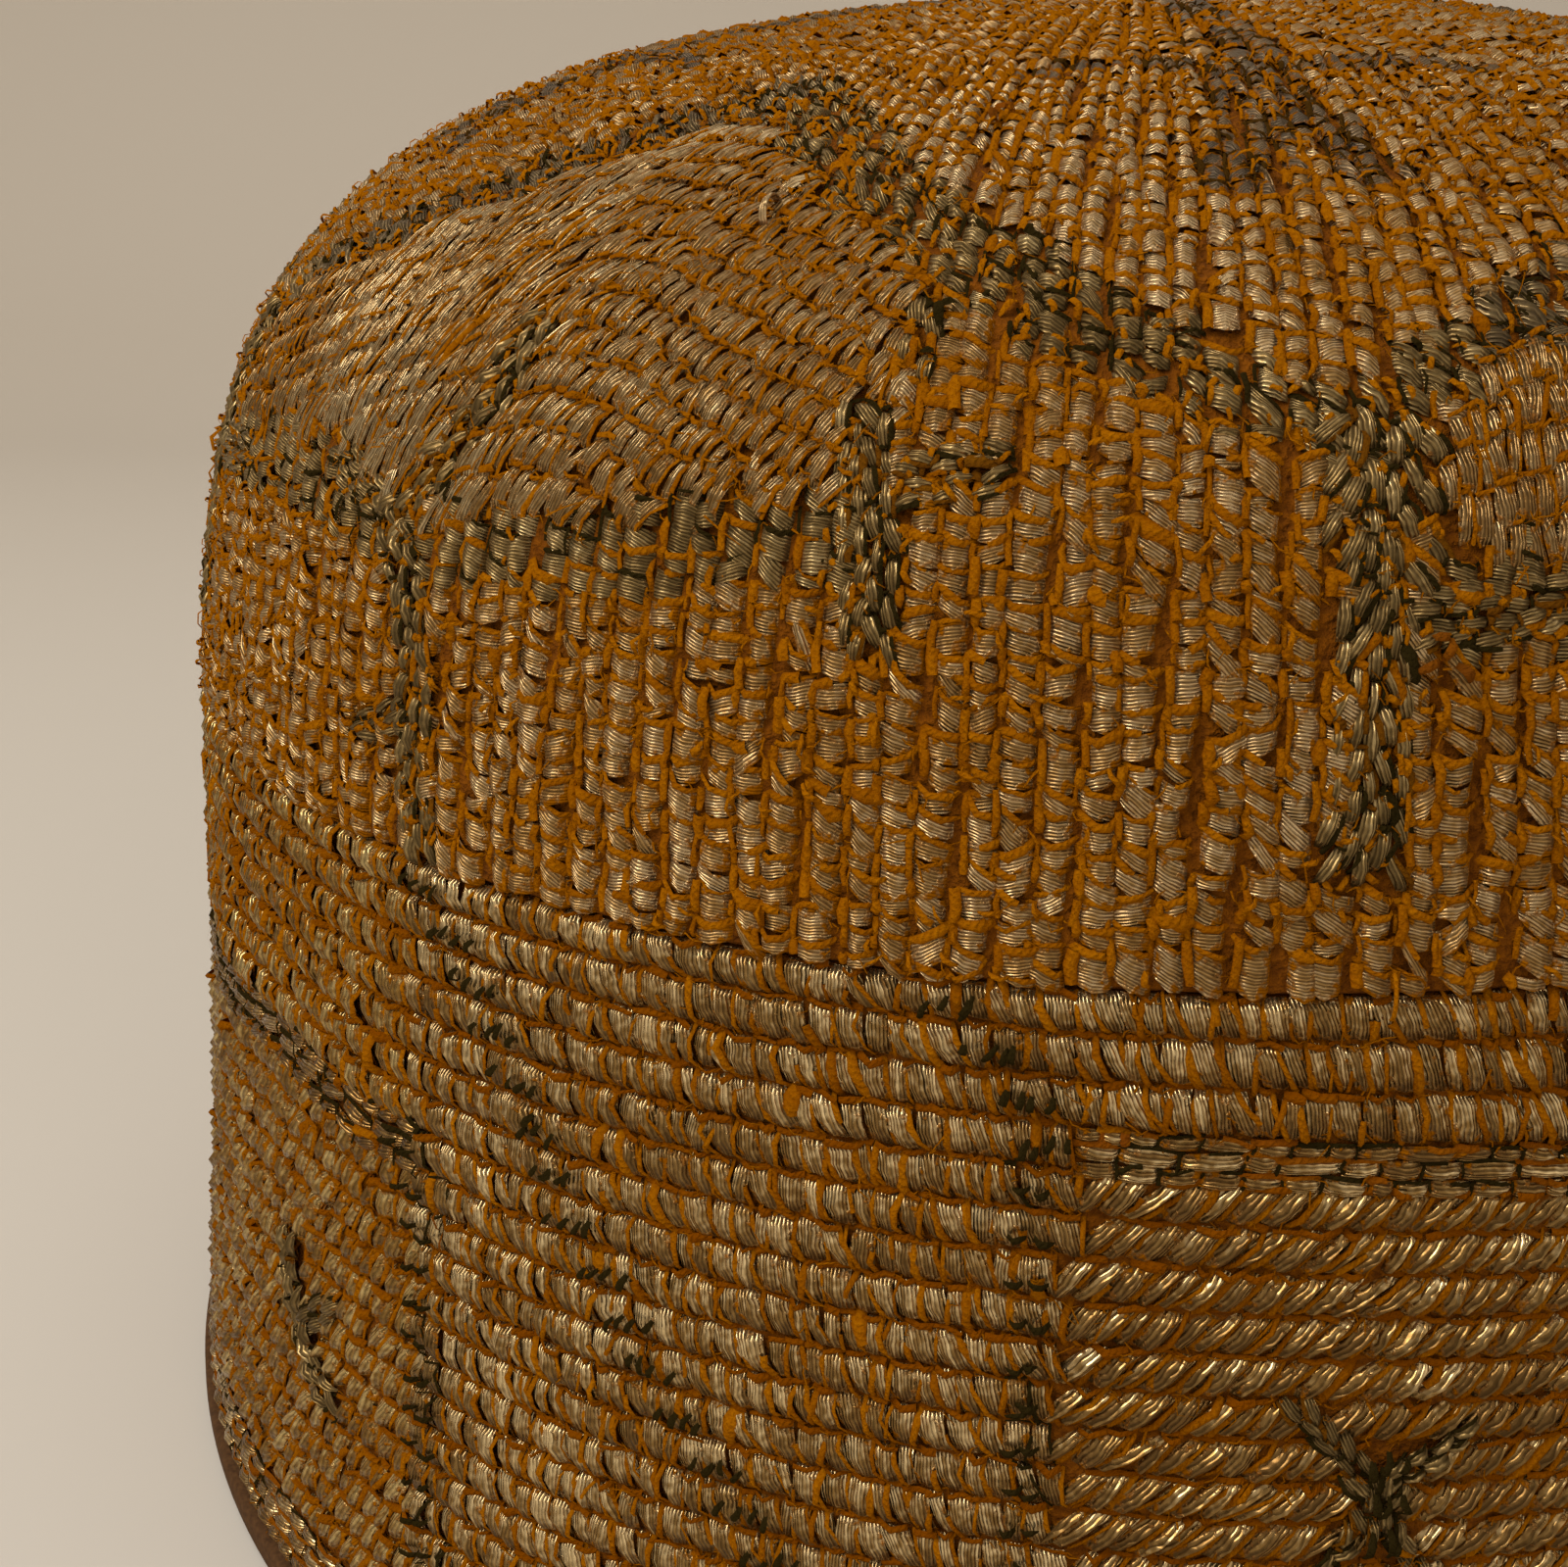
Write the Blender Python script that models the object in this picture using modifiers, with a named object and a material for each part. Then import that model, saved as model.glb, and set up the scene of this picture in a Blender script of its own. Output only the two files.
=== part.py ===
# Kolla hat: a stiff embroidered cap that stands on its own rim.
# A domed crown is sewn to a corded side band that spreads slightly downward,
# and a narrow binding closes the band's lower edge. The head hollow is open below.
# Metres, +Z up. The origin is on the hat's axis, on the surface that it stands on.

import math

import bpy
import numpy as np

# Driving sizes
SEAM_RADIUS = 0.0820        # outside of the wall where crown and band are sewn together
SEAM_HEIGHT = 0.0667        # height of that seam above the surface below the hat
CROWN_HEIGHT = 0.0520       # top of the crown above the seam
WALL = 0.0030               # padded cloth wall, from a cord's crest to the inner face
SEWING_GAP = 0.0003         # left between neighbouring pieces

# Crown outline: a softened ellipse whose radius also tapers with height
CROWN_TAPER = 0.098         # share of the radius that is lost by the top
CROWN_RADIUS_POWER = 0.861
CROWN_HEIGHT_POWER = 0.516
CROWN_EDGE_ROLL = 0.0007    # the lower edge rolls in this far to the seam
CROWN_EDGE_HEIGHT = 0.0011  # and does so over this height

# Band outline: the radius grows with the depth below the seam
BAND_SPREAD = 0.065         # growth per unit of depth
BAND_CURVE = 0.0542         # further growth with the square of the depth, per seam radius
CORD_PITCH = 0.00281        # height of one horizontal cord
TOP_CORD_HEIGHT = 0.00240   # the cord beside the seam is narrower
CORD_COUNT = 23
CORD_RELIEF = 0.0008        # depth of the valley between two cords

# Binding of the lower edge
BINDING_ROUND = 0.0005      # rounding of its outer and inner lower corners
BINDING_STAND_IN = 0.0002   # it lies this far inside the band's crests

# Softness of the hand-made form, as gentle waves round the hat's axis
OVAL_WAVE = 0.0005          # two bulges
SQUARE_WAVE = 0.0003        # four bulges
SEAM_WAVE = 0.0003          # the seam rises and falls by this
OVAL_TURN = math.radians(72.0)
SQUARE_TURN = math.radians(49.5)
SEAM_TURN = math.radians(25.0)

# Facets
SIDES = 60
CROWN_OUTER_ROWS = 16
CROWN_INNER_ROWS = 9
BAND_INNER_ROWS = 5
CURVE_SAMPLES = 400
MERGE_DISTANCE = 0.00001

TOTAL_HEIGHT = SEAM_HEIGHT + CROWN_HEIGHT


def material(name, color, roughness, metallic):
    mat = bpy.data.materials.new(name)
    mat.use_nodes = True
    shader = mat.node_tree.nodes["Principled BSDF"]
    shader.inputs["Base Color"].default_value = (*color, 1.0)
    shader.inputs["Roughness"].default_value = roughness
    shader.inputs["Metallic"].default_value = metallic
    return mat


def evenly_spaced(curve, rows):
    """Points at equal steps of length along a finely sampled curve of (radius, height)."""
    steps = np.hypot(*np.diff(curve, axis=0).T)
    length = np.concatenate([[0.0], np.cumsum(steps)])
    wanted = np.linspace(0.0, length[-1], rows + 1)
    return np.column_stack([np.interp(wanted, length, curve[:, 0]), np.interp(wanted, length, curve[:, 1])])


def crown_curve():
    """The crown's outside from its top, on the axis, down to the seam."""
    angle = np.linspace(math.pi / 2, 0.0, CURVE_SAMPLES)
    rise = np.sin(angle) ** CROWN_HEIGHT_POWER
    taper = 1.0 - CROWN_TAPER * rise
    radius = SEAM_RADIUS * taper * np.clip(np.cos(angle), 0.0, 1.0) ** CROWN_RADIUS_POWER
    return np.column_stack([radius, SEAM_HEIGHT + CROWN_HEIGHT * rise])


def crown_profile():
    """Closed wall section of the crown: down the outside, across the edge and up the inside."""
    curve = crown_curve()
    edge = SEAM_HEIGHT + SEWING_GAP / 2
    side = curve[curve[:, 1] > edge + CROWN_EDGE_HEIGHT]
    outside = evenly_spaced(side, CROWN_OUTER_ROWS)
    outside[0, 0] = 0.0

    tangent = np.gradient(curve, axis=0)
    tangent /= np.hypot(*tangent.T)[:, None]
    inward = np.column_stack([tangent[:, 1], -tangent[:, 0]])
    lining = curve + WALL * inward
    lining[0] = (0.0, TOTAL_HEIGHT - WALL)
    lining = lining[(lining[:, 1] > edge + CROWN_EDGE_HEIGHT) & (lining[:, 0] >= 0.0)]
    inside = evenly_spaced(lining, CROWN_INNER_ROWS)[::-1]
    inside[-1, 0] = 0.0

    rolled_edge = [(SEAM_RADIUS - CROWN_EDGE_ROLL, edge), (inside[0, 0], edge)]
    return [*map(tuple, outside), *rolled_edge, *map(tuple, inside)]


def band_radius(height):
    """Outside radius of the cords' crests at a height above the surface."""
    depth = SEAM_HEIGHT - np.asarray(height)
    return SEAM_RADIUS + BAND_SPREAD * depth + BAND_CURVE * depth ** 2 / SEAM_RADIUS


def cord_edges():
    """Heights of the valleys that bound the cords, from the seam down."""
    top = SEAM_HEIGHT - SEWING_GAP / 2
    return top - np.concatenate([[0.0], TOP_CORD_HEIGHT + CORD_PITCH * np.arange(CORD_COUNT)])


def band_profile():
    """Wall section of the band: one valley and one crest for each cord, and a smooth inner face."""
    edges = cord_edges()
    crests = (edges[:-1] + edges[1:]) / 2
    heights = np.empty(2 * CORD_COUNT + 1)
    heights[0::2] = edges
    heights[1::2] = crests
    radii = band_radius(heights)
    radii[0::2] -= CORD_RELIEF
    inner_heights = np.linspace(edges[-1], edges[0], BAND_INNER_ROWS + 1)
    inner_radii = band_radius(inner_heights) - WALL
    return [*zip(radii, heights), *zip(inner_radii, inner_heights)]


def binding_profile():
    """Section of the binding: a flat top under the band, and a flat underside with two rounded corners."""
    top = cord_edges()[-1] - SEWING_GAP
    outer = float(band_radius(0.0)) - BINDING_STAND_IN
    inner = float(band_radius(0.0)) - WALL
    return [
        (outer - BINDING_STAND_IN, top),
        (outer, (top + BINDING_ROUND) / 2),
        (outer, BINDING_ROUND),
        (outer - BINDING_ROUND, 0.0),
        (inner + BINDING_ROUND, 0.0),
        (inner, BINDING_ROUND),
        (inner, top),
    ]


def turned(name, profile, closed, mat, collection):
    """Turns a wall section round the hat's axis."""
    count = len(profile)
    edges = [(i, i + 1) for i in range(count - 1)]
    if closed:
        edges.append((count - 1, 0))
    mesh = bpy.data.meshes.new(name)
    mesh.from_pydata([(float(r), 0.0, float(z)) for r, z in profile], edges, [])
    obj = bpy.data.objects.new(name, mesh)
    collection.objects.link(obj)
    screw = obj.modifiers.new("turn", "SCREW")
    screw.axis = "Z"
    screw.angle = 2 * math.pi
    screw.steps = SIDES
    screw.render_steps = SIDES
    screw.use_merge_vertices = True
    screw.merge_threshold = MERGE_DISTANCE
    obj.data.materials.append(mat)
    return obj


def soften(obj):
    """Moves the turned wall by gentle waves, so that it is as uneven as a sewn one.

    A point moves outward by an oval and a square wave of its angle, in proportion to its
    distance from the axis, and up by a seam wave that fades out at the rim and at the top.
    """
    depsgraph = bpy.context.evaluated_depsgraph_get()
    mesh = bpy.data.meshes.new_from_object(obj.evaluated_get(depsgraph))
    mesh.name = obj.name
    points = np.empty(len(mesh.vertices) * 3)
    mesh.vertices.foreach_get("co", points)
    points = points.reshape(-1, 3)
    angle = np.arctan2(points[:, 1], points[:, 0])
    reach = np.hypot(points[:, 0], points[:, 1]) / SEAM_RADIUS
    swell = OVAL_WAVE * np.cos(2 * (angle - OVAL_TURN)) + SQUARE_WAVE * np.cos(4 * (angle - SQUARE_TURN))
    share = points[:, 2] / TOTAL_HEIGHT
    lift = SEAM_WAVE * np.cos(2 * (angle - SEAM_TURN)) * 4 * share * (1 - share)
    points[:, 0] += swell * reach * np.cos(angle)
    points[:, 1] += swell * reach * np.sin(angle)
    points[:, 2] += lift * np.minimum(reach, 1.0)
    mesh.vertices.foreach_set("co", points.ravel())
    mesh.shade_smooth()
    mesh.set_sharp_from_angle(angle=math.radians(50.0))
    obj.modifiers.clear()
    obj.data = mesh


def main():
    for old in list(bpy.data.objects):
        bpy.data.objects.remove(old, do_unlink=True)
    hat = bpy.data.collections.new("kolla_hat")
    bpy.context.scene.collection.children.link(hat)

    crown_cloth = material("crown_gold_embroidery", (0.235, 0.125, 0.030), 0.55, 0.35)
    band_cloth = material("band_gold_embroidery", (0.260, 0.140, 0.034), 0.50, 0.40)
    edge_cloth = material("edge_binding_cloth", (0.105, 0.052, 0.018), 0.70, 0.05)

    crown = turned("crown", crown_profile(), False, crown_cloth, hat)
    band = turned("band", band_profile(), True, band_cloth, hat)
    binding = turned("hem_binding", binding_profile(), True, edge_cloth, hat)
    for piece in (crown, band, binding):
        soften(piece)


main()
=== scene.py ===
# Looks of the kolla hat: a wall of padded cloth covered with laid metal thread in small
# bundles, each held by orange thread, with dark outline stitches round the old motifs.
import math
from functools import partial

import bpy
import numpy as np
from mathutils import Matrix, Vector


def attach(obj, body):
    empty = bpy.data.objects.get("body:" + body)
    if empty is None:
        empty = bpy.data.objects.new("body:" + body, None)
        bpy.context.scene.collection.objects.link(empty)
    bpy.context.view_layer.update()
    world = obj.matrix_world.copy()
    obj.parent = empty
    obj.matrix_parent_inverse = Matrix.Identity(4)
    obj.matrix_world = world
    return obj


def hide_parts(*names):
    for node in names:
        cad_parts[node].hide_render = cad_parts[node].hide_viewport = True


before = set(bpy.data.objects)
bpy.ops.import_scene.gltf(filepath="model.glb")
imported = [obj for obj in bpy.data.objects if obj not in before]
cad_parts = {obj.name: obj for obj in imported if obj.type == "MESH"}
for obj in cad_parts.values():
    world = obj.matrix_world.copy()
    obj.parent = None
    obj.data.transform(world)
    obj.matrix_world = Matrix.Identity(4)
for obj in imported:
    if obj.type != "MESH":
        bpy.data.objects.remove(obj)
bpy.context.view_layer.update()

rng = np.random.default_rng(1907)
mm = 0.001

# metres and degrees; azimuth 0 faces the camera's side (-Y) and grows towards +X,
# climb is the way up the wall from the seam, so it is negative on the band
hatForm = dict(
    seamRadius=0.0820, seamHeight=0.0667, crownHeight=0.0520, wall=0.0030,
    crownTaper=0.098, radiusPower=0.861, heightPower=0.516,
    bandSpread=0.065, bandCurve=0.0542,
    cordPitch=0.00281, topCord=0.00240, cordCount=23,
    ovalWave=0.0005, squareWave=0.0003, seamWave=0.0003,
    ovalTurn=72.0, squareTurn=49.5, seamTurn=25.0,
)
totalHeight = hatForm["seamHeight"] + hatForm["crownHeight"]


# Wall curve

def wallCurve(form):
    # the band's radius is a + b*depth + c*depth^2, the crown's is a tapered ellipse;
    # the rows are climb, radius, height and the outward normal's two parts
    seam = form["seamRadius"]
    depth = np.linspace(form["seamHeight"], 0.0, 300)
    bandR = seam + form["bandSpread"] * depth + form["bandCurve"] * depth ** 2 / seam
    bandZ = form["seamHeight"] - depth
    turn = np.linspace(0.0, math.pi / 2, 3000)
    rise = np.sin(turn) ** form["heightPower"]
    crownR = seam * (1 - form["crownTaper"] * rise)
    crownR = crownR * np.clip(np.cos(turn), 0, 1) ** form["radiusPower"]
    crownZ = form["seamHeight"] + form["crownHeight"] * rise
    arc = np.concatenate([[0.0], np.cumsum(np.hypot(np.diff(crownR), np.diff(crownZ)))])
    table = []
    for climb, radius, height in ((-depth, bandR, bandZ), (arc, crownR, crownZ)):
        stepR, stepZ = np.gradient(radius, climb), np.gradient(height, climb)
        size = np.hypot(stepR, stepZ)
        table.append(np.stack([climb, radius, height, stepZ / size, -stepR / size]))
    table[1][0, 0] = 1e-7  # just past the band's last climb, 0
    table[1][3:, -1] = 0.0, 1.0  # straight up on the axis
    return np.concatenate(table, axis=1)


curve = wallCurve(hatForm)
topClimb = curve[0, -1]


def onCurve(climb, row):
    return np.interp(climb, curve[0], curve[row])


def radiusAt(climb):
    return onCurve(climb, 1)


def soften(points):
    # outward by an oval and a square wave of the angle, up by a wave that fades at rim and top
    f = hatForm
    angle = np.arctan2(points[..., 1], points[..., 0])
    reach = np.hypot(points[..., 0], points[..., 1]) / f["seamRadius"]
    oval, square, seam = (
        f[key + "Wave"] * np.cos(times * (angle - math.radians(f[key + "Turn"])))
        for key, times in (("oval", 2), ("square", 4), ("seam", 2)))
    share = points[..., 2] / totalHeight
    out = (oval + square) * reach
    lift = seam * 4 * share * (1 - share) * np.minimum(reach, 1.0)
    return points + np.stack([out * np.cos(angle), out * np.sin(angle), lift], -1)


def wallFrame(azimuth, climb):
    # a point of the wall, and the directions east, up and out there
    a = np.radians(azimuth)
    r, z, outR, outZ = (onCurve(climb, k) for k in (1, 2, 3, 4))
    zero = np.zeros_like(a + climb)
    sinA, cosA = np.sin(a) + zero, np.cos(a) + zero
    east = np.stack([cosA, sinA, zero], -1)
    out = np.stack([outR * sinA, -outR * cosA, outZ + zero], -1)
    point = np.stack([r * sinA, -r * cosA, z + zero], -1)
    return point, east, np.cross(out, east), out


# Mesh building from whole arrays

def makePiece(name, material, points, faces, uv=None, cell=None):
    # points (n,3), faces (m,4); uv and cell are given per point
    mesh = bpy.data.meshes.new(name)
    sides = faces.shape[1]
    mesh.vertices.add(len(points))
    mesh.vertices.foreach_set("co", points.astype(np.float32).ravel())
    mesh.loops.add(faces.size)
    mesh.loops.foreach_set("vertex_index", faces.astype(np.int32).ravel())
    mesh.polygons.add(len(faces))
    mesh.polygons.foreach_set("loop_start", np.arange(0, faces.size, sides, dtype=np.int32))
    mesh.polygons.foreach_set("use_smooth", np.full(len(faces), True))
    if uv is not None:
        layer = mesh.uv_layers.new(name="threadMap")
        layer.data.foreach_set("uv", uv[faces.ravel()].astype(np.float32).ravel())
    if cell is not None:
        attribute = mesh.attributes.new("cell", "FLOAT_COLOR", "POINT")
        attribute.data.foreach_set("color", cell.astype(np.float32).ravel())
    mesh.update(calc_edges=True)
    mesh.validate()
    mesh.materials.append(material)
    obj = bpy.data.objects.new(name, mesh)
    bpy.context.scene.collection.objects.link(obj)
    print(name, faces.shape[0] * (sides - 2), "triangles")
    return obj


def gridFaces(count, rows, columns):
    # quads of many separate grids of rows by columns points, one after another
    r, c = np.meshgrid(np.arange(rows - 1), np.arange(columns - 1), indexing="ij")
    first = (r * columns + c).ravel()
    quad = np.stack([first, first + 1, first + columns + 1, first + columns], -1)
    return (quad[None] + (np.arange(count) * rows * columns)[:, None, None]).reshape(-1, 4)


def turnedPiece(name, profile, around, material, closed):
    # the profile's points are turned round the axis; a closed one makes a ring,
    # an open one starts and ends on the axis, where the quads meet in one point
    radius, height = profile.T
    a = np.linspace(0, 2 * math.pi, around, endpoint=False)
    height = np.repeat(height[:, None], around, 1)
    points = np.stack([radius[:, None] * np.sin(a), -radius[:, None] * np.cos(a), height], -1)
    rows = len(profile)
    i, j = np.meshgrid(np.arange(rows if closed else rows - 1), np.arange(around), indexing="ij")
    ni, nj = (i + 1) % rows, (j + 1) % around
    faces = np.stack([i * around + j, ni * around + j, ni * around + nj, i * around + nj], -1)
    obj = makePiece(name, material, soften(points).reshape(-1, 3), faces.reshape(-1, 4))
    if not closed:
        weld = obj.modifiers.new("poles", "WELD")
        weld.merge_threshold = 0.000001
    return obj


# Cells: one row of numbers for each bundle of laid thread

cellDefaults = dict(
    # course: direction of the row, strand: of the metal threads, degrees from east;
    # cross and side: how often thread lies over the bundle's end and beside it
    course=0.0, strand=90.0, lift=0.00045, base=-0.00045, tone=0.5, violet=0.0, dark=0.0, rust=0.0,
    # shade: how much painted shade darkens the threads laid over and beside the bundle
    bend=0.0, cross=1.0, side=1.0, tilt=0.0, dip=0.4, pitch=0.00023, shade=0.2, taper=0.12,
)


def makeCells(**given):
    # azimuth, climb, length and width are always given; every number spreads to all bundles
    fields = {**cellDefaults, **given}
    values = np.broadcast_arrays(*[np.asarray(value, float) for value in fields.values()])
    cells = {key: value.ravel().copy() for key, value in zip(fields, values)}
    cells["seed"] = rng.random(values[0].size)
    return cells


def pick(cells, mask):
    return {key: value[mask] for key, value in cells.items()}


def together(*groups):
    return {key: np.concatenate([g[key] for g in groups]) for key in groups[0]}


jitterForm = dict(leastRadius=0.004, lift=0.17, liftRange=(-0.4, 0.3), tone=0.11, bend=0.5)


def jitter(cells, place=0.03, size=0.05, turn=5.0):
    # every bundle a little out of place, size and line, by normal chances
    f = jitterForm
    n = len(cells["azimuth"])
    r = np.maximum(radiusAt(cells["climb"]), f["leastRadius"])
    cells["azimuth"] += np.degrees(rng.normal(0, place, n) * cells["length"] / r)
    cells["climb"] += rng.normal(0, place, n) * cells["length"]
    cells["length"] *= 1 + rng.normal(0, size, n)
    cells["width"] *= 1 + rng.normal(0, size * 0.5, n)
    cells["lift"] *= 1 + np.clip(rng.normal(0, f["lift"], n), *f["liftRange"])
    cells["strand"] += rng.normal(0, turn, n)
    cells["tone"] += rng.normal(0, f["tone"], n)
    cells["bend"] *= 1 + rng.normal(0, f["bend"], n)
    return cells


def unevenSteps(lines, count, low, high, uneven):
    # middles and lengths of count uneven steps from low to high, for each of several lines
    steps = 1 + rng.uniform(-uneven, uneven, (lines, count))
    edges = np.concatenate([np.zeros((lines, 1)), np.cumsum(steps, axis=1)], 1)
    edges = low + (high - low) * edges / edges[:, -1:]
    return (edges[:, 1:] + edges[:, :-1]) / 2, np.diff(edges, axis=1)


# Bundles and threads

padForm = dict(
    along=np.array([-1.0, 0.0, 1.0]), across=np.array([-1.0, -0.68, 0.0, 0.68, 1.0]),
    sink=0.00020, leastSlant=0.45, bendMiddle=0.33, roll=0.26, crest=0.6, flare=0.8,
    endEdge=0.9, mapShift=(97, 31),
)


def shaped(cells, axes):
    # the numbers with empty axes behind them, so that they spread over each bundle's grid
    return {key: value.reshape((-1,) + (1,) * (axes - 1)) for key, value in cells.items()}


def cellPoints(cells, p, q, extra=0.0):
    # p runs along the row and q along the strands, both -1 to 1 over the bundle;
    # height = lift * (1-q^2)^0.6 * (1-dip*p^2), less the sink; past p = 1 the next bundle rises
    f = padForm
    p, q = np.broadcast_arrays(p, q)
    point, east, up, out = wallFrame(cells["azimuth"], cells["climb"])
    a, b = np.radians(cells["course"]), np.radians(cells["strand"])
    ways = [np.cos(t)[:, None] * east + np.sin(t)[:, None] * up for t in (a, b)]
    wide = (-1,) + (1,) * (p.ndim - 1) + (3,)
    point, alongWay, strandWay, out = (v.reshape(wide) for v in (point, *ways, out))
    c = shaped({**cells, "slant": np.maximum(np.abs(np.sin(b - a)), f["leastSlant"])}, p.ndim)
    x = p * c["length"] / 2 * (1 - c["taper"] * np.minimum(q ** 2, 1))
    x = x + c["bend"] * (q ** 2 - f["bendMiddle"])
    y = q * c["width"] / 2 / c["slant"]
    end = np.minimum(np.abs(p), np.abs(2 - np.abs(p)))
    roll = ((c["seed"] * 13.7) % 1 - 0.5) * f["roll"] * np.clip(p, -1, 1)
    crest = np.clip(1 - q ** 2, 0, 1) ** f["crest"] * (1 - c["dip"] * end ** 2 + roll)
    lift = c["base"] - f["sink"] + (c["lift"] + f["sink"]) * crest + extra
    points = point + x[..., None] * alongWay + y[..., None] * strandWay + lift[..., None] * out
    outs = out + f["flare"] * (q ** 3)[..., None] * strandWay
    return points, outs / np.linalg.norm(outs, axis=-1, keepdims=True), x, y


def padMesh(cells, grade):
    # one small grid for each bundle; its map counts strands across and millimetres along,
    # and its colour holds the tone (with painted light added towards the strands' q = 1 end and
    # painted shade towards the other), the violet share, how near the edge is, and a chance
    n = len(cells["seed"])
    p, q = (np.broadcast_to(v, (n, *v.shape))
            for v in np.meshgrid(padForm["along"], padForm["across"], indexing="ij"))
    grid, outs, x, y = cellPoints(cells, p, q)
    c = shaped(cells, 3)
    slant = np.sin(np.radians(c["strand"] - c["course"]))
    strandShift, alongShift = padForm["mapShift"]
    uv = np.stack([x * np.abs(slant) / c["pitch"] + np.floor(c["seed"] * strandShift),
                   y / mm + c["seed"] * alongShift], -1)
    edge = np.maximum(np.abs(q), padForm["endEdge"] * np.abs(p))
    cell = np.broadcast_arrays(c["tone"] + grade * q, c["violet"], edge, c["seed"])
    faces = gridFaces(n, *p.shape[1:]).reshape(n, -1, 4)
    turned = slant.ravel() > 0
    faces[turned] = faces[turned][:, :, ::-1]
    return (soften(grid).reshape(-1, 3), faces.reshape(-1, 4),
            uv.reshape(-1, 2), np.stack(cell, -1).reshape(-1, 4))


def threadMesh(paths, outs, radius, dark=0.0, rust=0.0, shade=0.0,
               sections=(-82.0, 0.0, 82.0), flat=0.8):
    # half round threads: at each path point the section is turned from side to side over the top
    outs = np.broadcast_to(outs, paths.shape)
    ahead = np.gradient(paths, axis=1)
    ahead /= np.linalg.norm(ahead, axis=-1, keepdims=True) + 1e-12
    side = np.cross(ahead, outs)
    side /= np.linalg.norm(side, axis=-1, keepdims=True) + 1e-12
    t = np.radians(sections)[:, None]
    ring = side[:, :, None] * np.sin(t) + flat * outs[:, :, None] * np.cos(t)
    grid = paths[:, :, None] + ring * radius[:, :, None, None]
    n, rows, columns = grid.shape[:3]
    steps = np.linalg.norm(np.diff(paths, axis=1), axis=-1)
    run = np.concatenate([np.zeros((n, 1)), np.cumsum(steps, 1)], 1)
    seed = rng.random(n)
    uv = np.stack(np.broadcast_arrays(np.linspace(0, 1, columns)[None, None],
                                      (run / mm + seed[:, None] * 17)[:, :, None]), -1)
    cell = np.zeros((n, rows, columns, 4))
    for k, value in enumerate((dark, rust, shade, seed)):
        cell[..., k] = np.broadcast_to(value, n)[:, None, None]
    return (soften(grid).reshape(-1, 3), gridFaces(n, rows, columns),
            uv.reshape(-1, 2), cell.reshape(-1, 4))


def joined(*parts):
    # several (points, faces, uv, cell) sets as one
    shift = np.cumsum([0] + [len(part[0]) for part in parts[:-1]])
    faces = np.concatenate([part[1] + s for part, s in zip(parts, shift)])
    points, uv, cell = (np.concatenate([part[k] for part in parts]) for k in (0, 2, 3))
    return points, faces, uv, cell


crossForm = dict(
    places=np.array([-1.12, -0.5, 0.35, 1.12]), height=np.array([-0.6, 1.0, 1.0, -0.6]),
    shortShare=0.3, shortReach=0.55, aspect=(0.3, 3.0), bow=0.14, tilt=0.12, lift=0.00004,
    wander=(0.06, 0.08), size=(0.22, 0.16), leastSize=0.4, darkThinner=0.35,
    thickShare=0.04, thick=1.9, shade=0.35,
)


def crossThreads(cells, radius, lift, share=1.0, flip=1.0):
    # over the end of each bundle, from valley to valley, with a tilt and a little bow;
    # some are short and reach only from one valley to the crest
    f = crossForm
    chosen = pick(cells, rng.random(len(cells["seed"])) < cells["cross"] * share)
    n = len(chosen["seed"])
    q = f["places"] + rng.normal(0, f["wander"][1], (n, 4))
    hand = rng.choice(f["places"][[0, -1]], (n, 1))
    q = np.where(rng.random((n, 1)) < f["shortShare"], hand + (q - hand) * f["shortReach"], q)
    aspect = np.clip(chosen["width"] / chosen["length"], *f["aspect"])
    bow = rng.normal(0, f["bow"], (n, 1)) * (1 - q ** 2)
    tilt = (flip * chosen["tilt"] + rng.normal(0, f["tilt"], n)) * aspect
    p = 1.0 + tilt[:, None] * q + bow + rng.normal(0, f["wander"][0], (n, 4))
    height = lift * f["height"] + rng.normal(0, f["lift"], (n, 4))
    paths, outs = cellPoints(chosen, p, q, height)[:2]
    each, along = f["size"]
    size = radius * (1 + rng.normal(0, each, (n, 1))) * (1 + rng.normal(0, along, (n, 4)))
    thick = np.where(rng.random(n) < f["thickShare"], f["thick"], 1.0)
    size *= ((1 - f["darkThinner"] * chosen["dark"]) * thick)[:, None]
    return threadMesh(paths, outs, np.maximum(size, radius * f["leastSize"]), chosen["dark"],
                      chosen["rust"], (chosen["shade"] + f["shade"]) * rng.random(n))


sideForm = dict(
    places=np.array([-1.12, 0.0, 1.12]), height=np.array([0.65, 1.0, 0.65]),
    taper=np.array([0.92, 1.06, 0.92]), wander=0.08, lift=0.22, rough=0.00008,
    size=(0.26, 0.12), leastSize=0.5, darkThinner=0.5, shade=0.35,
)


def sideThreads(cells, radius, lift):
    # along the valley at the upper side of each bundle, from stitch hole to stitch hole
    f = sideForm
    chosen = pick(cells, rng.random(len(cells["seed"])) < cells["side"])
    n = len(chosen["seed"])
    p = f["places"] + rng.normal(0, f["wander"], (n, 3))
    q = 1.0 + rng.normal(0, f["wander"], (n, 3))
    height = lift * (f["height"] + rng.normal(0, f["lift"], (n, 1)))
    height = height + rng.normal(0, f["rough"], (n, 3))
    paths = cellPoints(chosen, p, q, height)[0]
    out = wallFrame(chosen["azimuth"], chosen["climb"])[3][:, None]
    each, along = f["size"]
    size = radius * (1 + rng.normal(0, each, (n, 1))) * f["taper"]
    size = np.maximum(size * (1 + rng.normal(0, along, (n, 3))), radius * f["leastSize"])
    size *= (1 - f["darkThinner"] * chosen["dark"])[:, None]
    return threadMesh(paths, out, size, chosen["dark"], chosen["rust"],
                      chosen["shade"] + f["shade"] * rng.random(n))


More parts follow.
